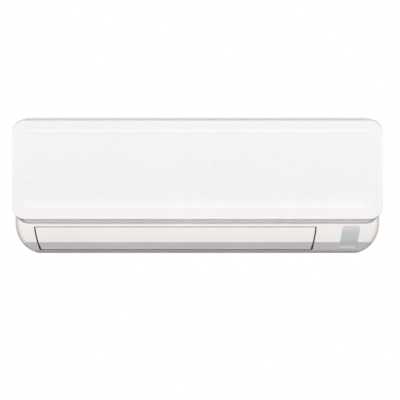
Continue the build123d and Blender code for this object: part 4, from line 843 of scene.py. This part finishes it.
def makeNet(node, name, body):
    low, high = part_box(node)
    bendStart, centre, lean, along, slopeStart, slopeRun = netPath()
    foot = low.z
    bm = bmesh.new()
    # one upright thread, swept up, round the bend and along the slope
    bmesh.ops.create_circle(bm, cap_ends=True, segments=4, radius=net["thread"])
    bmesh.ops.translate(bm, verts=bm.verts, vec=(low.x + net["pitch"], net["midY"], foot))
    grown = bmesh.ops.extrude_face_region(bm, geom=list(bm.faces))
    bmesh.ops.translate(bm, verts=onlyVerts(grown["geom"]), vec=(0, 0, bendStart.z - foot))
    turned = bmesh.ops.spin(
        bm,
        geom=onlyFaces(grown["geom"]),
        cent=(0, centre.y, centre.z),
        axis=(1, 0, 0),
        angle=-lean,
        steps=net["bendSteps"],
        use_merge=False,
    )
    grown = bmesh.ops.extrude_face_region(bm, geom=onlyFaces(turned["geom_last"]))
    bmesh.ops.translate(bm, verts=onlyVerts(grown["geom"]), vec=along * slopeRun)
    upright = newPiece(name + "Upright", bm, "filter_mesh", body)
    addRow(upright, net["pitch"], int((high.x - low.x) / net["pitch"]) - 1)
    # level threads, one by one up the same line
    bm = bmesh.new()
    rise, arc = bendStart.z - foot, net["bend"] * lean
    thick = net["thread"] * net["levelWidth"]
    run = net["pitch"]
    while run < rise + arc + slopeRun:
        if run < rise:
            place = Vector((0, net["midY"], foot + run))
        elif run < rise + arc:
            turn = (run - rise) / net["bend"]
            place = centre + Vector((0, -math.cos(turn), math.sin(turn))) * net["bend"]
        else:
            place = slopeStart + along * (run - rise - arc)
        place.x = (low.x + high.x) / 2
        size = Matrix.Diagonal((high.x - low.x, thick, thick, 1))
        bmesh.ops.create_cube(bm, size=1, matrix=Matrix.Translation(place) @ size)
        run += net["pitch"]
    level = newPiece(name + "Level", bm, "filter_mesh", body)
    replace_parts(level, node)


makeNet("filter_mesh_left", "netLeft", "filter_left")
makeNet("filter_mesh_right", "netRight", "filter_right")
print("filter nets made")


# screws with a cross recess
screws = dict(
    headRadius=0.0042,
    headHeight=0.0024,
    headSides=32,
    rimRound=0.0009,
    rimSteps=4,
    shankRadius=0.0020,
    shankSides=16,
    shankLength=0.012,
    slotWidth=0.0011,
    slotReach=0.0024,
    slotDepth=0.0012,
    casingPlaces=((-0.250, -0.209, -0.068), (-0.046, -0.209, -0.068), (0.200, -0.209, -0.068)),
    coverPlaces=((0.327, -0.211, 0.014),),
)


def addCylinder(bm, radius, depth, sides, middle):
    bmesh.ops.create_cone(
        bm,
        cap_ends=True,
        segments=sides,
        radius1=radius,
        radius2=radius,
        depth=depth,
        matrix=Matrix.Translation((0, 0, middle)),
    )


def addScrew(bm, place):
    part = bmesh.new()
    height, length = screws["headHeight"], screws["shankLength"]
    addCylinder(part, screws["headRadius"], height, screws["headSides"], height / 2)
    rim = [e for e in part.edges if all(v.co.z > height - nearness["merge"] for v in e.verts)]
    bmesh.ops.bevel(
        part,
        geom=rim,
        offset=screws["rimRound"],
        segments=screws["rimSteps"],
        profile=0.5,
        affect="EDGES",
        material=-1,
    )
    half, reach = screws["slotWidth"] / 2, screws["slotReach"]
    for edge in (-reach, -half, half, reach):
        for direction in ((1, 0, 0), (0, 1, 0)):
            top = [f for f in part.faces if f.normal.z > 0.99]
            cutAlong(part, Vector(direction) * edge, direction, top)
    cross = []
    for face in part.faces:
        middle = face.calc_center_median()
        inArm = min(abs(middle.x), abs(middle.y)) < half and max(abs(middle.x), abs(middle.y)) < reach
        if face.normal.z > 0.99 and inArm:
            cross.append(face)
    sunk = bmesh.ops.extrude_face_region(part, geom=cross)
    bmesh.ops.delete(part, geom=cross, context="FACES")
    bmesh.ops.translate(part, verts=onlyVerts(sunk["geom"]), vec=(0, 0, -screws["slotDepth"]))
    addCylinder(part, screws["shankRadius"], length, screws["shankSides"], -length / 2)
    bmesh.ops.transform(
        part, verts=part.verts, matrix=Matrix.Translation(place) @ Matrix.Rotation(math.radians(90), 4, "X")
    )
    shape = toMesh("screwShape", part)
    bm.from_mesh(shape)
    bpy.data.meshes.remove(shape)


def makeScrews():
    for name, places, node in (
        ("casingScrews", screws["casingPlaces"], "casing_screws"),
        ("coverScrew", screws["coverPlaces"], "terminal_cover_screw"),
    ):
        bm = bmesh.new()
        for place in places:
            addScrew(bm, place)
        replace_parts(newPiece(name, bm, "steel", "chassis"), node)


makeScrews()
print("screws made")


# floor and surroundings
ground = dict(z=-3.0, half=1.3, colour=tone(236, 235, 233), drift=tone(232, 231, 229))


def makeFloor():
    bm = bmesh.new()
    bmesh.ops.create_grid(bm, x_segments=1, y_segments=1, size=ground["half"])
    bmesh.ops.translate(bm, verts=bm.verts, vec=(0, 0, ground["z"]))
    mesh = toMesh("floor", bm)
    floor = bpy.data.objects.new("floor", mesh)
    scene.collection.objects.link(floor)
    finish, tree, shader = newFinish("floorPaint")
    drift = spread(tree, noise(tree, objectPlace(tree), 3, 3), 0, 1)
    connect(tree, shader, colour=mixTones(tree, drift, ground["colour"], ground["drift"]))
    shader.inputs["Roughness"].default_value = 0.8
    mesh.materials.append(finish)


# light from all round: even above, weaker straight below and weakest from below the back.
# Gloss mirrors a brighter band in front, above and to both sides of the straight view.
surroundings = dict(
    above=0.46,
    below=1.0,
    belowSteep=0.1,
    belowBack=0.02,
    reflected=0.6,
    reflectedBack=0.04,
    reflectedFloor=1.6,
    band=2.6,
    # where each of them fades into the next, as a range of the direction's X, Y or Z
    steepZ=(-0.9, -0.4),
    lowY=(-0.9, -0.1),
    upZ=(-0.2, 0.2),
    behindZ=(-0.75, -0.6),
    facingY=(0, 0.3),
    upwardZ=(-0.15, -0.02),
    bandX=(0.10, 0.35),
    bandZ=(0.05, 0.30),
    bandY=(-0.85, -0.6),
)


def makeSurroundings():
    world = bpy.data.worlds.new("studio")
    world.use_nodes = True
    scene.world = world
    tree = world.node_tree
    background = tree.nodes["Background"]
    sky = surroundings
    direction = addNode(tree, "ShaderNodeTexCoord").outputs["Generated"]
    axes = addNode(tree, "ShaderNodeSeparateXYZ", {"Vector": direction}).outputs

    def combine(operation, first, second=0.0):
        return addNode(tree, "ShaderNodeMath", {0: first, 1: second}, operation=operation).outputs[0]

    def blendOf(share, first, second):
        return addNode(tree, "ShaderNodeMix", {0: share, 2: first, 3: second}).outputs[0]

    steep = spread(tree, axes["Z"], sky["belowSteep"], 1, *sky["steepZ"])
    low = spread(tree, axes["Y"], sky["below"], sky["belowBack"], *sky["lowY"])
    up = spread(tree, axes["Z"], 0, 1, *sky["upZ"])
    light = blendOf(up, combine("MULTIPLY", low, steep), sky["above"])
    behind = spread(tree, axes["Z"], sky["reflectedFloor"], sky["reflectedBack"], *sky["behindZ"])
    facing = spread(tree, axes["Y"], 0, 1, *sky["facingY"])
    mirrored = blendOf(facing, sky["reflected"], behind)
    upward = spread(tree, axes["Z"], 0, 1, *sky["upwardZ"])
    sideways = spread(tree, combine("ABSOLUTE", axes["X"]), 0, 1, *sky["bandX"])
    wide = combine("MAXIMUM", sideways, spread(tree, axes["Z"], 0, 1, *sky["bandZ"]))
    ahead = spread(tree, axes["Y"], 1, 0, *sky["bandY"])
    band = spread(tree, combine("MULTIPLY", wide, ahead), 1.0, sky["band"], 0, 1)
    reflected = blendOf(upward, mirrored, band)
    path = addNode(tree, "ShaderNodeLightPath").outputs
    seen = combine("MAXIMUM", path["Is Camera Ray"], path["Is Transmission Ray"])
    strength = blendOf(seen, blendOf(path["Is Glossy Ray"], light, reflected), 1.0)
    tree.links.new(strength, background.inputs["Strength"])
    background.inputs["Color"].default_value = (1, 1, 1, 1)


makeFloor()
makeSurroundings()
print("stage set")
